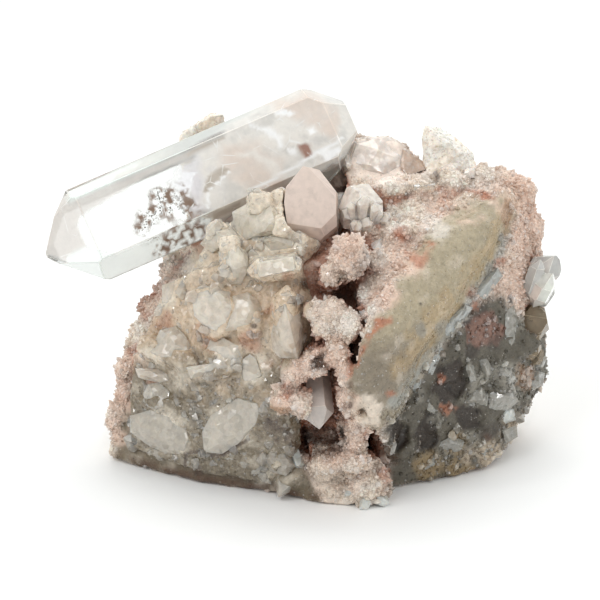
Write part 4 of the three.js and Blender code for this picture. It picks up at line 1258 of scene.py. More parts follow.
def scatter(
    name, surface, per_mm2, share, radius, seed, finish, slot, shape=GRAIN_SHAPE, length=(0.7, 0.5)
):
    """Strews one bed of grains over a surface as a piece."""
    chance = np.random.default_rng(seed)
    roots, normals, tints = surface.strew(per_mm2, share, chance)
    keep = free_of_crystals(roots, GRAIN_GAP)
    roots, normals, tints = roots[keep], normals[keep], tints[keep]
    count = len(roots)
    axes = normals + (chance.random(normals.shape) - 0.5) * GRAIN_LEAN
    radii = radius * MM * (0.55 + 0.9 * chance.random(count) ** 2)
    lengths = radii * (length[0] + length[1] * chance.random(count))
    light = 0.88 + 0.34 * chance.random(count)[:, None]
    pale = 0.4 * chance.random(count)[:, None] ** 4
    tints = np.clip(tints * light * (1 - pale) + pale * 0.85, 0, 0.92)
    mesh = scattered_mesh(name, shape, roots, axes, radii, lengths, tints, chance)
    return finished(name, mesh, finish)


def grow_druse(settings, surface, sugar, kinds, openness):
    """Strews the rock with crystals: sugar over the druse, flat-faced ones on the grey face."""
    front = towards_front(surface.normals, -0.1, 0.2)
    above = ramp(surface.points[:, 2], 0.4 * MM, 1.5 * MM)
    # The grains keep off the darkest tints, among them the painted shade in the recesses.
    lit = ramp(surface.tints.mean(axis=1), 0.06, 0.2)
    dark = ramp(surface.tints.mean(axis=1), 0.07, 0.16)
    bed = sugar * above * lit * (0.12 + 0.88 * ramp(openness, 0.15, 0.5))
    right = surface.points[:, 0] > 12 * MM
    smooth = (0.5 * kinds["ledge"] + 0.25 * kinds["peak"] + 0.6 * kinds["glassy"]) * above * lit
    grey = kinds["grey"] * above * dark
    sugary = (grain_finish("sugary druse", 0.15), "host_rock")
    pointed = (grain_finish("druse points", 0.3, 0.05), "host_rock", POINT_SHAPE, (1.2, 1.5))
    glassy = (grain_finish("grey druse", 0.4, 0.05), "smoky_quartz", POINT_SHAPE, (1, 1))
    # Each bed's grains to the square millimetre, where they are, their radius in millimetres, seed.
    for name, per_mm2, share, radius, seed, looks in (
        ("druse_right", 4.6, bed * front * right, 0.32, 101, sugary),
        ("druse_middle", 4.6, bed * front * ~right, 0.32, 102, sugary),
        ("druse_back", 1.0, bed * (1 - front), 0.55, 103, sugary),
        ("druse_points", 0.6, bed * (0.3 + 0.7 * front), 0.42, 107, pointed),
        ("druse_fine", 1.4, smooth, 0.2, 104, sugary),
        ("druse_grey", 1.5, grey, 0.3, 105, glassy),
    ):
        scatter(name, surface, per_mm2, share, radius, seed, *looks)

    chance = np.random.default_rng(106)
    crystals = Crystals()
    tree = tree_of(["matrix"])
    for colour, outline, ridge in ROCK_CRYSTALS:
        crystals.add_corners(
            faceted(outlined(tree, outline, ridge), chance, 3), getattr(settings, colour)
        )
    roots, normals, tints = surface.strew(GREY_PER_MM2, grey, chance)
    for root, normal, tint in zip(roots / MM, normals, tints):
        along = unit(normal + (chance.random(3) - 0.5) * 2.2)
        radius = 0.6 + 0.8 * chance.random() ** 2
        reach = radius * (1.2 + chance.random())
        planes = uneven_quartz(root - along * reach * 0.9, root + along * reach, radius, chance)
        crystals.add(planes, np.clip(tint * 1.3 + 0.06, 0, 0.9))
    finish = tinted_finish("grey quartz", (0.93, 0.9, 0.86), 10, 0.05, 0.84, tuple(settings.glint))
    finished("grey_crystals", crystals.mesh("grey_crystals", GREY_BEVEL), finish)


# ---- Crust -------------------------------------------------------------------------------------

# The crust's larger crystals: how pale each is, its outline in the front view in millimetres right
# of and above its middle, and its ridge as (right, up, rise).
CRUST_CRYSTALS = [
    (1.0, [(-10.4, 6.8), (-9.2, 8.4), (-0.6, 9.8), (0.2, 6.8), (-0.8, 5.2), (-8.4, 3.4), (-9.8, 4.8)],
     [(-8.2, 7.4, 2.2), (-1.4, 8.7, 2.2), (-1.2, 6.2, 2.6), (-7.8, 4.8, 2.6)]),
    (0.9, [(-14.2, 10), (-12.4, 10.8), (-10.4, 9.6), (-10.4, 6), (-11.8, 3), (-14, 3.2), (-15.2, 4.8),
      (-15, 7.6)],
     [(-13.6, 9, 2), (-11.4, 9, 2), (-11.6, 5.2, 2.4), (-13.8, 5.2, 2.2)]),
    (1.0, [(-21.6, 0.4), (-20.4, 2.4), (-16.4, 3.2), (-14, 1.6), (-13, -1.2), (-14, -4), (-16.4, -6.4),
      (-19.2, -5.2), (-21.2, -3.2)],
     [(-19.6, 0.6, 2.2), (-16, 1.4, 2.6), (-14.8, -2, 2.4), (-16.8, -4.6, 2.2), (-20, -2.6, 2)]),
    (1.0, [(-13.4, 0.8), (-10.4, 1.6), (-8.4, 0), (-7.6, -2), (-9.2, -4), (-11.6, -6), (-15.2, -6.4),
      (-13.6, -3.2)],
     [(-12, -0.6, 2), (-9.8, -0.4, 2), (-10.2, -3.2, 2.2), (-12.6, -4.6, 2)]),
    (0.6, [(-2.8, 3), (-1.2, 0.8), (0, -2.8), (0.8, -6.8), (0.6, -9.6), (-0.4, -12), (-3.2, -12),
      (-5.6, -10.4), (-5.8, -6.8), (-4.8, -2.8), (-4, 0.8)],
     [(-3, 0.6, 1.6), (-2.2, -4, 2.4), (-0.8, -7.4, 2.4), (-4, -7.2, 2.2), (-2.6, -10.6, 2)]),
    (0.6, [(-19.2, -11.2), (-18, -8), (-15.2, -7.6), (-12.4, -9.2), (-11.6, -11.6), (-14, -13.6),
      (-17.2, -13.6)],
     [(-16.8, -9.6, 1.4), (-14, -9.8, 1.6), (-14, -12, 1.4), (-16.6, -12, 1.3)]),
    (0.5, [(-28, -6), (-24.8, -5.2), (-22.8, -7.2), (-21.2, -10.4), (-20.4, -12.8), (-22.8, -14.2),
      (-28, -12), (-30, -10.4)],
     [(-26.4, -7, 0.8), (-23.6, -9, 1.2), (-22.4, -12.4, 1.4), (-27.6, -10.6, 0.9)]),
    (0.8, [(-22.8, -13.4), (-17.2, -12.6), (-16.6, -14.2), (-22, -15.8)],
     [(-21.4, -14.4, 1.4), (-17.6, -13.6, 1.5)]),
    (0.8, [(-33, -13.6), (-28.4, -13.8), (-25, -15.6), (-28, -16.6), (-32.4, -15.6)],
     [(-31.6, -14.6, 0.8), (-27.4, -15.4, 1.1)]),
    (0.9, [(-31.4, -18.8), (-30.4, -16.8), (-28, -16.4), (-26, -18.4), (-26.4, -20.8), (-28.8, -22),
      (-30.8, -21.2)],
     [(-29.6, -18.2, 1.5), (-27.6, -18.6, 1.6), (-28.8, -20.4, 1.5)]),
    (0.5, [(-15.2, -21.2), (-12.4, -19.6), (-7.2, -19.6), (-7.2, -21.6), (-8.4, -25.2), (-12.4, -28.8),
      (-15.6, -30.8), (-19.2, -30.4), (-19.6, -26.4), (-18, -23.2)],
     [(-12.4, -21.4, 1.5), (-8.6, -21.2, 1.6), (-10, -25, 1.5), (-15.6, -28.4, 1.2),
      (-16.8, -25.2, 1.2)]),
    (0.3, [(-34, -23.2), (-30, -22), (-24.8, -22.4), (-20.4, -24), (-20, -28), (-22.8, -30.8),
      (-26.8, -30.8), (-30.8, -28.8), (-34, -26.4)],
     [(-30, -24, 0.9), (-24, -24.8, 1), (-22.8, -28, 1), (-26.8, -29.2, 0.9), (-30.8, -26.4, 0.8)]),
    (0.4, [(-7.2, -31.6), (-6, -30.4), (-3.6, -30.4), (-2, -31.6), (-0.8, -33.2), (-2.8, -35.2),
      (-6, -34.4)],
     [(-5, -31.8, 1.6), (-2.8, -32.4, 1.8), (-3.6, -33.8, 1.6)]),
    (0.4, [(-5.2, -36.4), (-4, -35.6), (-1.6, -36.4), (-2, -38.4), (-4.4, -39.6)],
     [(-3.8, -36.8, 1.2), (-3, -38, 1.3)]),
    (0.5, [(-12, -12), (-10, -10.8), (-8, -12), (-7.6, -15.2), (-10, -16.8), (-12.4, -15.2)],
     [(-10.4, -12.4, 1.2), (-9.6, -15, 1.1)]),
    (0.7, [(-13.6, 17.6), (-10.8, 19.2), (-6, 20), (-2.8, 17.6), (-2.4, 14.8), (-6, 12.4), (-10.8, 12),
      (-13.2, 14.4)],
     [(-11, 16.8, 2), (-6.4, 17.6, 2.4), (-5, 15, 2.2), (-9.6, 14, 2)]),
    (0.7, [(-17.6, 14.4), (-14.4, 15.6), (-12.4, 13.2), (-13.6, 10.8), (-17.6, 9.4), (-20, 11.2)],
     [(-16.4, 13, 2), (-14.4, 12, 1.8)]),
    (0.7, [(-8, 12), (-4, 12.8), (-0.8, 11.4), (-2, 10), (-6.4, 9.8)],
     [(-6, 11.2, 1.4), (-3, 11.2, 1.5)]),
    (0.5, [(-27.6, 10.6), (-24.6, 11), (-23.4, 8), (-25, 5.4), (-27.4, 7)],
     [(-25.8, 9, 1.1), (-25, 7, 1)]),
    (0.4, [(-27.6, 3), (-25, 3.8), (-23, 1.4), (-24.4, -1.4), (-27.6, -0.6)],
     [(-26, 2, 1), (-25, 0, 1)]),
]


class CrustSettings(bpy.types.PropertyGroup):
    voxel: FloatProperty(
        name="Voxel", description="Grain of the crust's mesh", default=0.36 * MM, unit="LENGTH"
    )
    sink: FloatProperty(
        name="Sink", description="Depth of glass over the body", default=0.35 * MM, unit="LENGTH"
    )
    relief: FloatProperty(name="Relief", description="How far the crystals stand out", default=0.55)
    honey: tone("Honey", "Middle of the crust", paint(206, 183, 157))
    pale: tone("Pale", "Palest parts", paint(230, 219, 202))
    rust: tone("Rust", "Stain between crystals", paint(174, 116, 84))
    olive: tone("Olive", "Lower part of the crust", paint(128, 115, 95))
    # Painted shade at the foot of the crust.
    deep: tone("Deep olive", "Foot of the crust", paint(108, 96, 76))
    # Also painted shade where the crust meets the cleft.
    brown: tone("Seams", "Dark seams", paint(72, 52, 36))
    glass: tone("Glass", "Tint of the palest crystals", paint(238, 226, 208))
    frost: tone("Frost", "Light on the crystals' edges", paint(250, 243, 230))


class CLUSTER_OT_crust(bpy.types.Operator):
    """Builds the glassy crust on the left face"""

    bl_idname = "cluster.crust"
    bl_label = "Crystal Crust"

    def execute(self, context):
        settings = context.scene.quartz_cluster.crust
        tree = tree_of(BEDS)
        chance = np.random.default_rng(200)
        shapes = [
            (faceted(outlined(tree, outline, ridge, settings.relief), chance), light)
            for light, outline, ridge in CRUST_CRYSTALS
        ]

        mesh = remeshed("crystal_crust", settings.voxel)
        edges = edges_of(mesh)
        points = smoothed(points_of(mesh), edges, 4)
        place(mesh, points)
        normals = normals_of(mesh)
        _, value = grain_field(points, 3.4 * MM, 201)
        small, _ = grain_field(points, 1.3 * MM, 205)
        relief = (value - 0.5) * 0.3 * MM + (0.5 - small) * 0.14 * MM
        relief += layered_noise(points, 3 * MM, 211, 5, 0.6) * 0.3 * MM
        covered = np.zeros(len(points))
        for corners, _ in shapes:
            covered = np.maximum(covered, ramp(depth_in(planes_of(corners), points), -0.3 * MM, 0.2 * MM))
        relief = relief * (1 - covered) - settings.sink * covered
        moved = points + normals * relief[:, None]
        moved[:, 2] = np.maximum(moved[:, 2], 0)
        place(mesh, moved)
        normals = normals_of(mesh)
        cavity = ((smoothed(moved, edges, 6) - moved) * normals).sum(axis=1) / MM
        tints = glassy_tints(settings, moved, cavity * (1 - covered))
        # Painted light: the body under the crystals is lightened to make up for the light that the glass
        # over it holds back.
        tints = np.clip(tints * (1 + 0.35 * covered)[:, None], 0, 0.92)
        set_tint(mesh, tints)
        body = waxy_finish("crust quartz", 0.4, 1.2 * MM, settings.pale)
        finished("crust_body", mesh, body, ["crystal_crust"], smooth=True)

        crystals = Crystals()
        for corners, light in shapes:
            middle = corners.mean(axis=0)[None] * MM
            local = glassy_tints(settings, middle, np.zeros(1))[0]
            # Crystals lower down keep more of the crust's tint under them, painted shade at the foot
            # included.
            share = (0.15 + 0.75 * light) * (0.4 + 0.6 * ramp(seen_from_front(middle)[0, 1], -24, -8))
            crystals.add_corners(corners, between(local, settings.glass, share))
        surface = Surface(mesh, tints)
        front = towards_front(normals, -0.1, 0.3) * ramp(moved[:, 2], 3 * MM, 5 * MM) * (1 - covered)
        roots, outward, shades = surface.strew(CRUST_PER_MM2, front, chance)
        for root, normal, shade in zip(roots / MM, outward, shades):
            lying = unit(np.cross(normal, chance.normal(size=3)))
            along = unit(lying + normal * (0.1 + 0.9 * chance.random()))
            radius = 0.5 + 1.1 * chance.random() ** 1.5
            reach = radius * (1.0 + 1.4 * chance.random())
            middle = root - normal * radius * 0.72
            planes = uneven_quartz(middle - along * reach, middle + along * reach, radius, chance)
            crystals.add(planes, between(shade, settings.glass, 0.4 * chance.random() ** 3))
        glass = tinted_finish("crust glass", (0.95, 0.92, 0.86), 8, 0.03, 0.68, tuple(settings.frost))
        finished("crust_crystals", crystals.mesh("crust_crystals", CRUST_BEVEL), glass)
        sugar = grain_finish("crust sugar", 0.4)
        seams = (0.25 + 0.75 * ramp(cavity, -0.05, 0.2)) * front
        scatter("crust_sugar", surface, 2.4, seams, 0.2, 206, sugar, "crust_quartz")
        return {"FINISHED"}


def planes_of(corners):
    """Outward normals and offsets, in metres, of the convex piece around corners in millimetres."""
    built = bmesh.new()
    verts = [built.verts.new(corner) for corner in np.asarray(corners) * MM]
    bmesh.ops.convex_hull(built, input=verts)
    bmesh.ops.recalc_face_normals(built, faces=built.faces)
    normals = np.array([face.normal for face in built.faces])
    offsets = np.array([face.normal @ face.verts[0].co for face in built.faces])
    built.free()
    return normals, offsets


# ---- Crystals that stand alone -----------------------------------------------------------------

# Blades beside the lone crystals, in millimetres from the solids' own origin: node, ends, radius.
BLADES = [
    ("clear_crystal", (15, -3.5, 49.6), (14.8, -9.4, 57.6), 1.7),
    ("clear_crystal", (9.4, -3.5, 50), (9.8, -9.4, 57.2), 1.6),
    ("clear_crystal", (13.2, -4.5, 48.6), (13, -10.4, 55.2), 1.5),
    ("clear_crystal", (11.2, -4.5, 48.6), (11, -10.6, 54.4), 1.4),
    ("clear_crystal", (16.6, -3, 48.6), (16.4, -8.6, 55.6), 1.3),
    ("clear_crystal", (12.2, -6, 51), (12.6, -11.2, 60), 1.1),
    ("clear_crystal", (14, -6, 51), (14.6, -10.6, 58.2), 0.9),
    ("clear_crystal", (10.4, -6, 51), (10, -10.6, 58.4), 0.9),
    ("edge_crystal", (46.6, 4, 29.4), (50.6, 3.4, 38.6), 2.1),
    ("edge_crystal", (47.4, 7, 28.6), (51.6, 7.4, 35), 1.8),
    ("edge_crystal", (45.4, 5, 31), (48.2, 4.6, 41.2), 1.6),
    ("smoky_crystal", (44, 1, 20), (48.4, -0.4, 26.4), 2.2),
    ("smoky_crystal", (46, 4, 17), (49.4, 3.4, 22), 1.6),
]
LARGE_AXIS = unit(np.array([60.7, 16.6, 22]))  # the large crystal's length, from left to right
# The large crystal's flecks: dark clumps as (right, up, radius, count) and depth shares.
FLECK_CLUMPS = [
    (-25.6, 19.4, 3.4, 260, 0.75),
    (-28.4, 20.6, 2.2, 130, 0.75),
    (-22.4, 18.2, 2.4, 130, 0.75),
    (-30.4, 16.4, 2.2, 90, 0.75),
    (-31.8, 14, 1.4, 30, 0.75),
    (-29, 17.6, 2, 70, 0.75),
    (-23.4, 13, 2.4, 130, 0.3),
    (-26.6, 11.4, 1.8, 80, 0.3),
    (-28.6, 9.8, 1.2, 30, 0.3),
    (-20.8, 14.2, 1.8, 70, 0.3),
]
# Clouds on the large crystal's front faces, one over another, among them painted bands of light and
# painted highlights: colour, how cloudy, how soft in millimetres, and the outline in the front view.
CLOUDS = [
    # The two rows below, and the lower "band" row after the left tip, are painted light: bands of the
    # surroundings seen through the prism's faces, laid on as cloud.
    ("band", 0.62, 0.3, [(-47.6, 20.6), (-42.8, 23.4), (-24, 32), (-14.8, 36.6), (-5.2, 42), (-4.4, 39.6),
     (-14, 34.6), (-23.2, 29.8), (-32, 25.6), (-42, 21.2), (-45.6, 19.2)]),
    ("pinkish", 0.72, 0.3, [(-46, 19.4), (-42, 21.3), (-32, 25.5), (-22.4, 30), (-13.2, 33.8), (-8, 36.8),
     (-14.4, 32.2), (-22.4, 28.2), (-31.2, 24.4), (-44, 16.6)]),
    ("pinkish", 0.8, 0.4, [(-52.4, 14), (-48, 21.4), (-43.8, 17), (-44.6, 15), (-42.6, 10.8), (-46, 7.6),
     (-51, 9)]),
    ("band", 0.42, 0.3, [(-46.6, 8.6), (-42.6, 10.8), (-36.8, 9.2), (-20.8, 16.4), (-16, 19), (-12, 18),
     (-26, 8), (-38, 2), (-46, 4)]),
    ("lilac", 0.7, 1.2, [(-24.4, 27.2), (-16, 31), (-14, 26), (-16, 18.4), (-21, 17.4), (-24.4, 20),
     (-26.4, 23)]),
    ("milk", 0.86, 1.4, [(-20.4, 29), (-14, 35.2), (-4.8, 43), (3, 43.6), (12, 38), (12, 30), (1.6, 25),
     (-2.8, 19), (-8, 19.6), (-12, 17.6), (-17, 15.6), (-20, 21)]),
    ("blush", 0.86, 1.6, [(-15.6, 31), (-8, 31.4), (-3.6, 28), (-3, 22), (-8, 21), (-13.4, 24),
     (-16, 27)]),
    ("blush", 0.86, 1.2, [(-7, 39.6), (2, 41.6), (7, 38.6), (7.6, 33), (2, 35), (-1, 36.6)]),
    ("blush", 0.88, 0.9, [(4.2, 34.4), (6.4, 36.2), (8, 34.4), (6.4, 32.4)]),
    ("milk", 0.9, 0.6, [(-13, 29), (-8.4, 30.4), (-4.4, 27.6), (-4, 24), (-6, 24.4), (-7, 27.4),
     (-9.4, 28.6)]),
    ("white", 0.92, 0.5, [(-10.6, 35.8), (-5.6, 34.4), (-3, 31), (-3.8, 30.6), (-6.2, 33.2),
     (-10.4, 34.9)]),
    ("tan", 0.88, 0.3, [(-19.4, 21.4), (-18.8, 24), (-17.6, 25.6), (-15.6, 26.6), (-13.8, 26.2),
     (-16, 24.4), (-17.6, 22)]),
    ("white", 0.92, 0.12, [(-19, 21.4), (-14.2, 26), (-13.9, 25.8), (-18.7, 21.1)]),
    ("tan", 0.85, 0.3, [(-23, 29.2), (-19, 31.4), (-15.2, 33), (-15, 32.4), (-18.6, 30.5),
     (-22.6, 28.8)]),
    ("tan", 0.75, 0.25, [(-18, 17.4), (-12, 19.6), (-11.6, 18.8), (-17.2, 16)]),
    ("white", 0.95, 0.2, [(-18.7, 21.2), (-18.1, 21.2), (-17.9, 18.2), (-18.6, 18.2)]),
    # The next two rows are painted highlights: glints of the softboxes on the front faces.
    ("white", 0.98, 0.25, [(-5.2, 37.6), (-3.2, 38.3), (-0.8, 37.6), (-2, 36.8), (-4.8, 37)]),
    ("white", 0.98, 0.25, [(1.4, 34.2), (2.8, 34.8), (3.4, 33.6), (2, 33)]),
    ("rust", 0.9, 0.25, [(-0.4, 31), (2, 31.2), (2.6, 28.6), (1, 28.2), (0, 30)]),
    ("white", 0.9, 0.15, [(-10, 22.2), (-2, 26.4), (8.6, 32.8), (8.8, 32.3), (-1.8, 25.8), (-9.8, 21.7)]),
    ("white", 0.95, 0.2, [(3.6, 29.4), (8, 31), (8.4, 29.8), (5.4, 27.6)]),
    ("white", 0.9, 0.2, [(-2.8, 30.6), (-1, 30.2), (-0.6, 28.8), (-2.2, 29.2)]),
]


class CrystalSettings(bpy.types.PropertyGroup):
    edge: FloatProperty(
        name="Edge", description="Bevel of the crystals' edges", default=0.16 * MM, unit="LENGTH"
    )
    facet: FloatProperty(
        name="Facet", description="Grain of the clouds' mesh", default=0.55 * MM, unit="LENGTH"
    )
    clear: tone("Clear", "Tint of clear quartz", COLOURLESS)
    rose: tone("Rose", "Tint of the pink crystal", paint(227, 209, 198))
    smoky: tone("Smoky", "Tint of the smoky crystal", paint(186, 168, 142))
    cream: tone("Cream", "Cream mineral", paint(252, 238, 222))
    frosting: tone("Frosting", "White coat on the cream mineral", paint(246, 243, 236))
    fleck: tone("Flecks", "Brown flecks in the large crystal", paint(124, 98, 80))
    milk: tone("Milk", "Milky clouds", paint(238, 233, 226))
    blush: tone("Blush", "Pink clouds", paint(228, 212, 200))
    lilac: tone("Lilac", "Cool clouds", paint(244, 242, 248))
    # The two bands are painted light: the surroundings seen through the prism's faces.
    pinkish: tone("Inner band", "Pinkish-grey band", paint(216, 208, 201))
    band: tone("Outer band", "Greenish-white bands", paint(232, 238, 233))
    # Used for bright fractures and for painted highlights on the large crystal's front faces.
    white: tone("White", "Bright fractures", (0.97, 0.97, 0.97))
    grizzle: tone("Grizzle", "Cloud of the clear points", paint(242, 229, 217))
    tan: tone("Tan", "Brownish veil", paint(182, 168, 152))
    rust: tone("Rust", "Iron stain", paint(150, 100, 78))


class CLUSTER_OT_crystals(bpy.types.Operator):
    """Builds the crystals that stand alone"""

    bl_idname = "cluster.crystals"
    bl_label = "Lone Crystals"

    def execute(self, context):
        settings = context.scene.quartz_cluster.crystals
        bright = tinted_finish(
            "bright quartz", (0.96, 0.95, 0.93), 6, 0.02, 0.8, tuple(settings.frosting)
        )
        ice = clear_finish("icy quartz", (0.94, 0.95, 0.92), 10, 0.03, 0.1, tuple(settings.frosting))
        blush = clear_finish("pinkish quartz", (0.93, 0.88, 0.84), 12, 0.04, 0.05, tuple(settings.blush))
        rose = clear_finish("rose quartz", (0.92, 0.84, 0.8), 16, 0.16, 0.03, tuple(settings.rose))
        smoky = clear_finish("smoky quartz", (0.8, 0.7, 0.56), 40, 0.06, 0.04, tuple(settings.smoky))
        # Each crystal's piece, material, slot and tint, and how cloudy and how frosted its faces are.
        glass = {
            "clear_crystal": ("clear_point", bright, "clear_quartz", settings.grizzle, (0.68, 0.05)),
            "edge_crystal": ("edge_point", ice, "clear_quartz", settings.clear, (0.4, 0)),
            "cleft_crystal": ("cleft_point", blush, "clear_quartz", settings.clear, (0.6, 0)),
            "smoky_crystal": ("smoky_point", smoky, "smoky_quartz", settings.smoky, (0.4, 0)),
        }
        chance = np.random.default_rng(300)
        for node, (name, material, slot, tint, milk) in glass.items():
            crystals = Crystals()
            crystals.add_corners(points_of(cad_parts[node].data) / MM, tint, milk)
            for owner, start, end, radius in BLADES:
                if owner == node:
                    shift = ORIGIN / MM
                    crystals.add(uneven_quartz(start + shift, end + shift, radius, chance), tint, milk)
            finished(name, crystals.mesh(name, settings.edge, 2), material, [node])
        crystals = Crystals()
        crystals.add(flat_fronted("rose_crystal", ROSE_CUTS), settings.rose, (0.86, 0.2))
        mesh = crystals.mesh("rose_point", ROSE_BEVEL, 2)
        finished("rose_point", mesh, rose, ["rose_crystal"])
        build_large_crystal(settings)
        build_frosted(settings)
        return {"FINISHED"}


# The pink crystal's front faces: the way each looks, and how far in millimetres it cuts back.
ROSE_CUTS = [((-0.02, -0.96, 0.28), 3.4), ((0.42, -0.86, -0.2), 2.3), ((-0.12, -0.9, -0.42), 2.6)]


def flat_fronted(node, cuts):
    """A packed convex node's faces, in millimetres, with its front cut back to flat faces."""
    normals, offsets = hull_planes(node)
    offsets = offsets / MM
    corners = points_of(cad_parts[node].data) / MM
    for way, cut in cuts:
        way = unit(np.array(way))
        normals = np.vstack([normals, way])
        offsets = np.append(offsets, (corners @ way).max() - cut)
    return normals, offsets


def build_frosted(settings):
    """Builds the cream blade and the pale lump, with their frosting of grains."""
    coat = grain_finish("cream frosting", 0.3)
    for node, name in (("cream_crystal", "cream_blade"), ("perched_crystal", "perched_lump")):
        mesh = remeshed(node, FROSTED_VOXEL)
        points = points_of(mesh)
        normals = normals_of(mesh)
        nearest, value = grain_field(points, 2.2 * MM, 301)
        relief = layered_noise(points, 3 * MM, 311, 5, 0.6) * 0.35 * MM + (value - 0.5) * 0.5 * MM
        place(mesh, points + normals * (relief - nearest * 0.2 * MM)[:, None])
        frosting = ramp(layered_noise(points, 4 * MM, 321, 4), -0.05, 0.3)
        tints = blend(np.tile(settings.cream, (len(points), 1)), settings.frosting, 0.8 * frosting)
        base = 1 - ramp(points[:, 2], points[:, 2].min() + 1 * MM, points[:, 2].min() + 4 * MM)
        stain = 0.3 if node == "cream_crystal" else 0.0
        tints = blend(tints, settings.rust, stain * base * ramp(-frosting, -0.6, 0))
        set_tint(mesh, tints)
        body = waxy_finish(name, 0.35, 1.2 * MM, settings.frosting, 0.2, 0.6)
        finished(name, mesh, body, [node], smooth=True)
        surface = Surface(mesh, tints)
        chance = np.random.default_rng(331)
        roots, outward, shades = surface.strew(FROSTING_PER_MM2, 0.3 + frosting, chance)
        radii = 0.22 * MM * (0.6 + 0.8 * chance.random(len(roots)))
        axes = outward + (chance.random(outward.shape) - 0.5) * GRAIN_LEAN
        grains = scattered_mesh(name + "_frost", GRAIN_SHAPE, roots, axes, radii, radii, shades, chance)
        finished(name + "_frost", grains, coat)


def cut_fine(mesh, step):
    """Cuts the large crystal's faces into small cells, along its length and across it."""
    built = bmesh.new()
    built.from_mesh(mesh)
    places = points_of(mesh)
    for way in (LARGE_AXIS, unit(np.cross(VIEW_FORWARD, LARGE_AXIS))):
        along = places @ way
        for offset in np.arange(along.min() + step / 2, along.max(), step):
            parts = [*built.verts, *built.edges, *built.faces]
            bmesh.ops.bisect_plane(built, geom=parts, dist=TOUCHING, plane_co=way * offset, plane_no=way)
    bmesh.ops.triangulate(built, faces=built.faces)
    built.to_mesh(mesh)
    built.free()


def large_clouds(settings, places, normals):
    """How cloudy the large crystal is at each place on its faces, and the clouds' colour, with painted
    bands of light and painted highlights among the clouds. Its hidden faces are cloudy too, so that light
    is not trapped inside."""
    spots = seen_from_front(places)
    warp = sway(places, 3 * MM, (351, 361), 3)
    wisps = layered_noise(places * np.array([1, 1, 1.6]), 2.6 * MM, 371, 5, 0.6)
    facing = towards_front(normals, 0.0, 0.15)
    rising = ramp(normals[:, 2], 0.2, 0.5)
    ends = ramp(np.abs(normals @ LARGE_AXIS), 0.3, 0.5)
    share = np.maximum(0.35 * ends, 0.5 * rising) * (1 - facing)
    share = np.maximum(share, 0.7 * (1 - facing) * ramp(places @ LARGE_AXIS, -6 * MM, 8 * MM))
    tints = np.tile(settings.milk, (len(places), 1)).astype(float)
    for colour, strength, soft, outline in CLOUDS:
        wander = 0.25 if soft < 0.5 else 1.6
        mask = facing * (1 - ramp(outline_distance(outline, spots + warp * wander), -soft, soft))
        if colour in ("milk", "blush", "lilac", "tan"):
            mask = mask * (0.78 + 0.22 * ramp(wisps, -0.3, 0.2))
        share = share + (strength - share) * mask
        tints = blend(tints, getattr(settings, colour), mask)
    clumps = spot_mask([row[:3] for row in FLECK_CLUMPS], spots + warp * 0.8, 0.5)
    grit = ramp(layered_noise(places, 0.9 * MM, 381, 3, 0.7), -0.05, 0.12)
    flecked = 0.75 * facing * clumps * grit
    share = share + (0.96 - share) * np.clip(1.5 * flecked, 0, 1)
    return share, blend(tints, settings.fleck, ramp(flecked, 0, 0.25))


def build_large_crystal(settings):
    """Builds the large clear crystal with its clouds and its flecks."""
    crystals = Crystals()
    crystals.add_corners(points_of(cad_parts["main_crystal"].data) / MM, tuple(settings.clear))
    mesh = crystals.mesh("large_crystal", settings.edge, 2)
    cut_fine(mesh, settings.facet)
    corners = triangles_of(mesh)
    places = points_of(mesh)[corners].reshape(-1, 3)
    normals = np.repeat([polygon.normal for polygon in mesh.polygons], 3, axis=0)
    share, tints = large_clouds(settings, places, normals)
    mesh.attributes.remove(mesh.attributes["milk"])
    mesh.attributes.remove(mesh.attributes["tint"])
    set_share(mesh, "milk", share, "CORNER")
    set_tint(mesh, tints, "CORNER")
    water = clear_finish("water-clear quartz", (0.9, 0.97, 0.93), 12)
    finished("large_crystal", mesh, water, ["main_crystal"])

    planes = hull_planes("main_crystal")
    chance = np.random.default_rng(340)
    roots = []
    for right, up, radius, count, share in FLECK_CLUMPS:
        for _ in range(count):
            turn, away = chance.random() * 2 * math.pi, radius * chance.random() ** 0.6
            spot = (right + away * math.cos(turn), up + 0.8 * away * math.sin(turn))
            enter, leave = crossing(planes, *spot)
            if leave - enter > 2 * MM:
                depth = enter + (leave - enter) * (share + 0.1 * (chance.random() - 0.5))
                roots.append(behind_front(*spot, depth))
    roots = np.array(roots)
    roots = roots[layered_noise(roots, 1.6 * MM, 341, 3) > -0.12]
    count = len(roots)
    radii = MM * (0.06 + 0.13 * chance.random(count) ** 2)
    axes = chance.normal(size=(count, 3))
    shades = blend(np.tile(settings.fleck, (count, 1)), settings.blush, 0.5 * chance.random(count) ** 2)
    flecks = scattered_mesh("crystal_flecks", GRAIN_SHAPE, roots, axes, radii, radii, shades, chance, 0.4)
    finished("crystal_flecks", flecks, grain_finish("brown flecks", 0.1, 0.4))


# ---- Stage -------------------------------------------------------------------------------------


class StageSettings(bpy.types.PropertyGroup):
    floor: tone("Floor", "Colour of the floor", (0.95, 0.95, 0.95))
    near: FloatProperty(
        name="Near side", description="Strength of the room light on the camera's side", default=0.45
    )
    far: FloatProperty(name="Far side", description="Strength of the room light from behind", default=1.0)
    key: FloatProperty(name="Key light", description="Strength of the main softbox in watts", default=2.6)
    spark: FloatProperty(
        name="Small lights", description="Strength of each small bright light in watts", default=0.7
    )


# Each light's place and size in metres, and its strength as a share of the setting for its kind.
SOFTBOXES = [
    ("key", (-0.45, -0.5, 0.75), (0.5, 0.5), 1.0),
    ("fill", (0.7, -0.35, 0.5), (0.5, 0.7), 0.4),
    ("top", (0.1, 0.35, 0.9), (0.8, 0.5), 1.0),
    ("spark_left", (-0.75, -0.45, 0.6), (0.09, 0.09), 1.0),
    ("spark_front", (0.12, -0.7, 0.85), (0.09, 0.09), 1.0),
    ("spark_right", (0.65, -0.6, 0.45), (0.09, 0.09), 0.7),
]
LIGHT_AIM = (0, 0, 0.03)


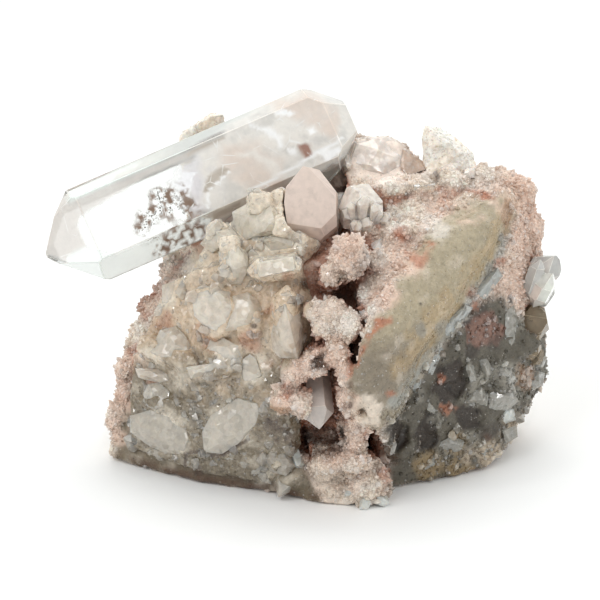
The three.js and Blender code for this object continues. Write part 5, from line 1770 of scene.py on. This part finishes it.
def softbox(name, place_at, size, watts):
    light = bpy.data.lights.new(name, "AREA")
    light.shape = "RECTANGLE"
    light.size, light.size_y = size
    light.energy = watts
    box = bpy.data.objects.new(name, light)
    box.location = place_at
    box.rotation_mode = "QUATERNION"
    box.rotation_quaternion = (Vector(LIGHT_AIM) - Vector(place_at)).to_track_quat("-Z", "Y")
    bpy.context.scene.collection.objects.link(box)


def light_room(settings):
    """Light from all round, brighter from behind the cluster than from the camera's side."""
    world = bpy.data.worlds.new("room")
    bpy.context.scene.world = world
    world.use_nodes = True
    tree = world.node_tree
    direction = tree.nodes.new("ShaderNodeTexCoord").outputs["Generated"]
    parts = tree.nodes.new("ShaderNodeSeparateXYZ")
    tree.links.new(direction, parts.inputs[0])
    strength = tree.nodes.new("ShaderNodeMapRange")
    tree.links.new(parts.outputs["Y"], strength.inputs["Value"])
    for name, value in (
        ("From Min", -0.5), ("From Max", 0.6), ("To Min", settings.near), ("To Max", settings.far)
    ):
        strength.inputs[name].default_value = value
    background = tree.nodes["Background"]
    background.inputs["Color"].default_value = (0.97, 1, 0.985, 1)
    tree.links.new(strength.outputs["Result"], background.inputs["Strength"])


class CLUSTER_OT_stage(bpy.types.Operator):
    """Sets up the floor, the light and the camera"""

    bl_idname = "cluster.stage"
    bl_label = "Stage"

    def execute(self, context):
        settings = context.scene.quartz_cluster.stage
        scene = context.scene
        scene.view_settings.view_transform = "Standard"
        built = bmesh.new()
        bmesh.ops.create_circle(built, cap_ends=True, segments=64, radius=4)
        mesh = bpy.data.meshes.new("floor")
        built.to_mesh(mesh)
        built.free()
        floor = bpy.data.objects.new("floor", mesh)
        scene.collection.objects.link(floor)
        paper = Shader("white paper")
        shade = paper.remap(paper.noise(60 * MM, 2), 0.3, 0.7, 0.98, 1.0)
        paper.set(Base_Color=paper.shaded(tuple(settings.floor), shade), Roughness=0.9)
        mesh.materials.append(paper.material)

        light_room(settings)
        for name, place_at, size, watts in SOFTBOXES:
            softbox(name, place_at, size, watts * (settings.spark if "spark" in name else settings.key))

        lens = bpy.data.cameras.new("camera")
        lens.lens = VIEW_LENS
        lens.sensor_width = VIEW_SENSOR
        lens.clip_start, lens.clip_end = 0.01, 20
        camera = bpy.data.objects.new("camera", lens)
        camera.location = VIEW_TARGET - VIEW_FORWARD * VIEW_DISTANCE
        camera.rotation_mode = "QUATERNION"
        camera.rotation_quaternion = Vector(VIEW_FORWARD).to_track_quat("-Z", "Y")
        scene.collection.objects.link(camera)
        scene.camera = camera
        return {"FINISHED"}


# ---- Add-on ------------------------------------------------------------------------------------


class ClusterSettings(bpy.types.PropertyGroup):
    rock: PointerProperty(name="Host rock", description="The rock and its druse", type=RockSettings)
    crust: PointerProperty(name="Crust", description="The crust on the left face", type=CrustSettings)
    crystals: PointerProperty(name="Crystals", description="The lone crystals", type=CrystalSettings)
    stage: PointerProperty(name="Stage", description="Floor, light and camera", type=StageSettings)


class CLUSTER_PT_panel(bpy.types.Panel):
    """The cluster's operators, in the order in which they run"""

    bl_label = "Quartz Cluster"
    bl_idname = "CLUSTER_PT_panel"
    bl_space_type = "VIEW_3D"
    bl_region_type = "UI"
    bl_category = "Quartz Cluster"

    def draw(self, context):
        for operator in OPERATORS:
            self.layout.operator(operator.bl_idname)


OPERATORS = (CLUSTER_OT_stage, CLUSTER_OT_rock, CLUSTER_OT_crust, CLUSTER_OT_crystals)
SETTINGS = (RockSettings, CrustSettings, CrystalSettings, StageSettings, ClusterSettings)
CLASSES = (*SETTINGS, *OPERATORS, CLUSTER_PT_panel)


def register():
    for kind in CLASSES:
        bpy.utils.register_class(kind)
    bpy.types.Scene.quartz_cluster = PointerProperty(type=ClusterSettings)


def unregister():
    del bpy.types.Scene.quartz_cluster
    for kind in reversed(CLASSES):
        bpy.utils.unregister_class(kind)


def main():
    register()
    bpy.ops.cluster.stage()
    bpy.ops.cluster.rock()
    bpy.ops.cluster.crust()
    bpy.ops.cluster.crystals()


if __name__ == "__main__":
    main()
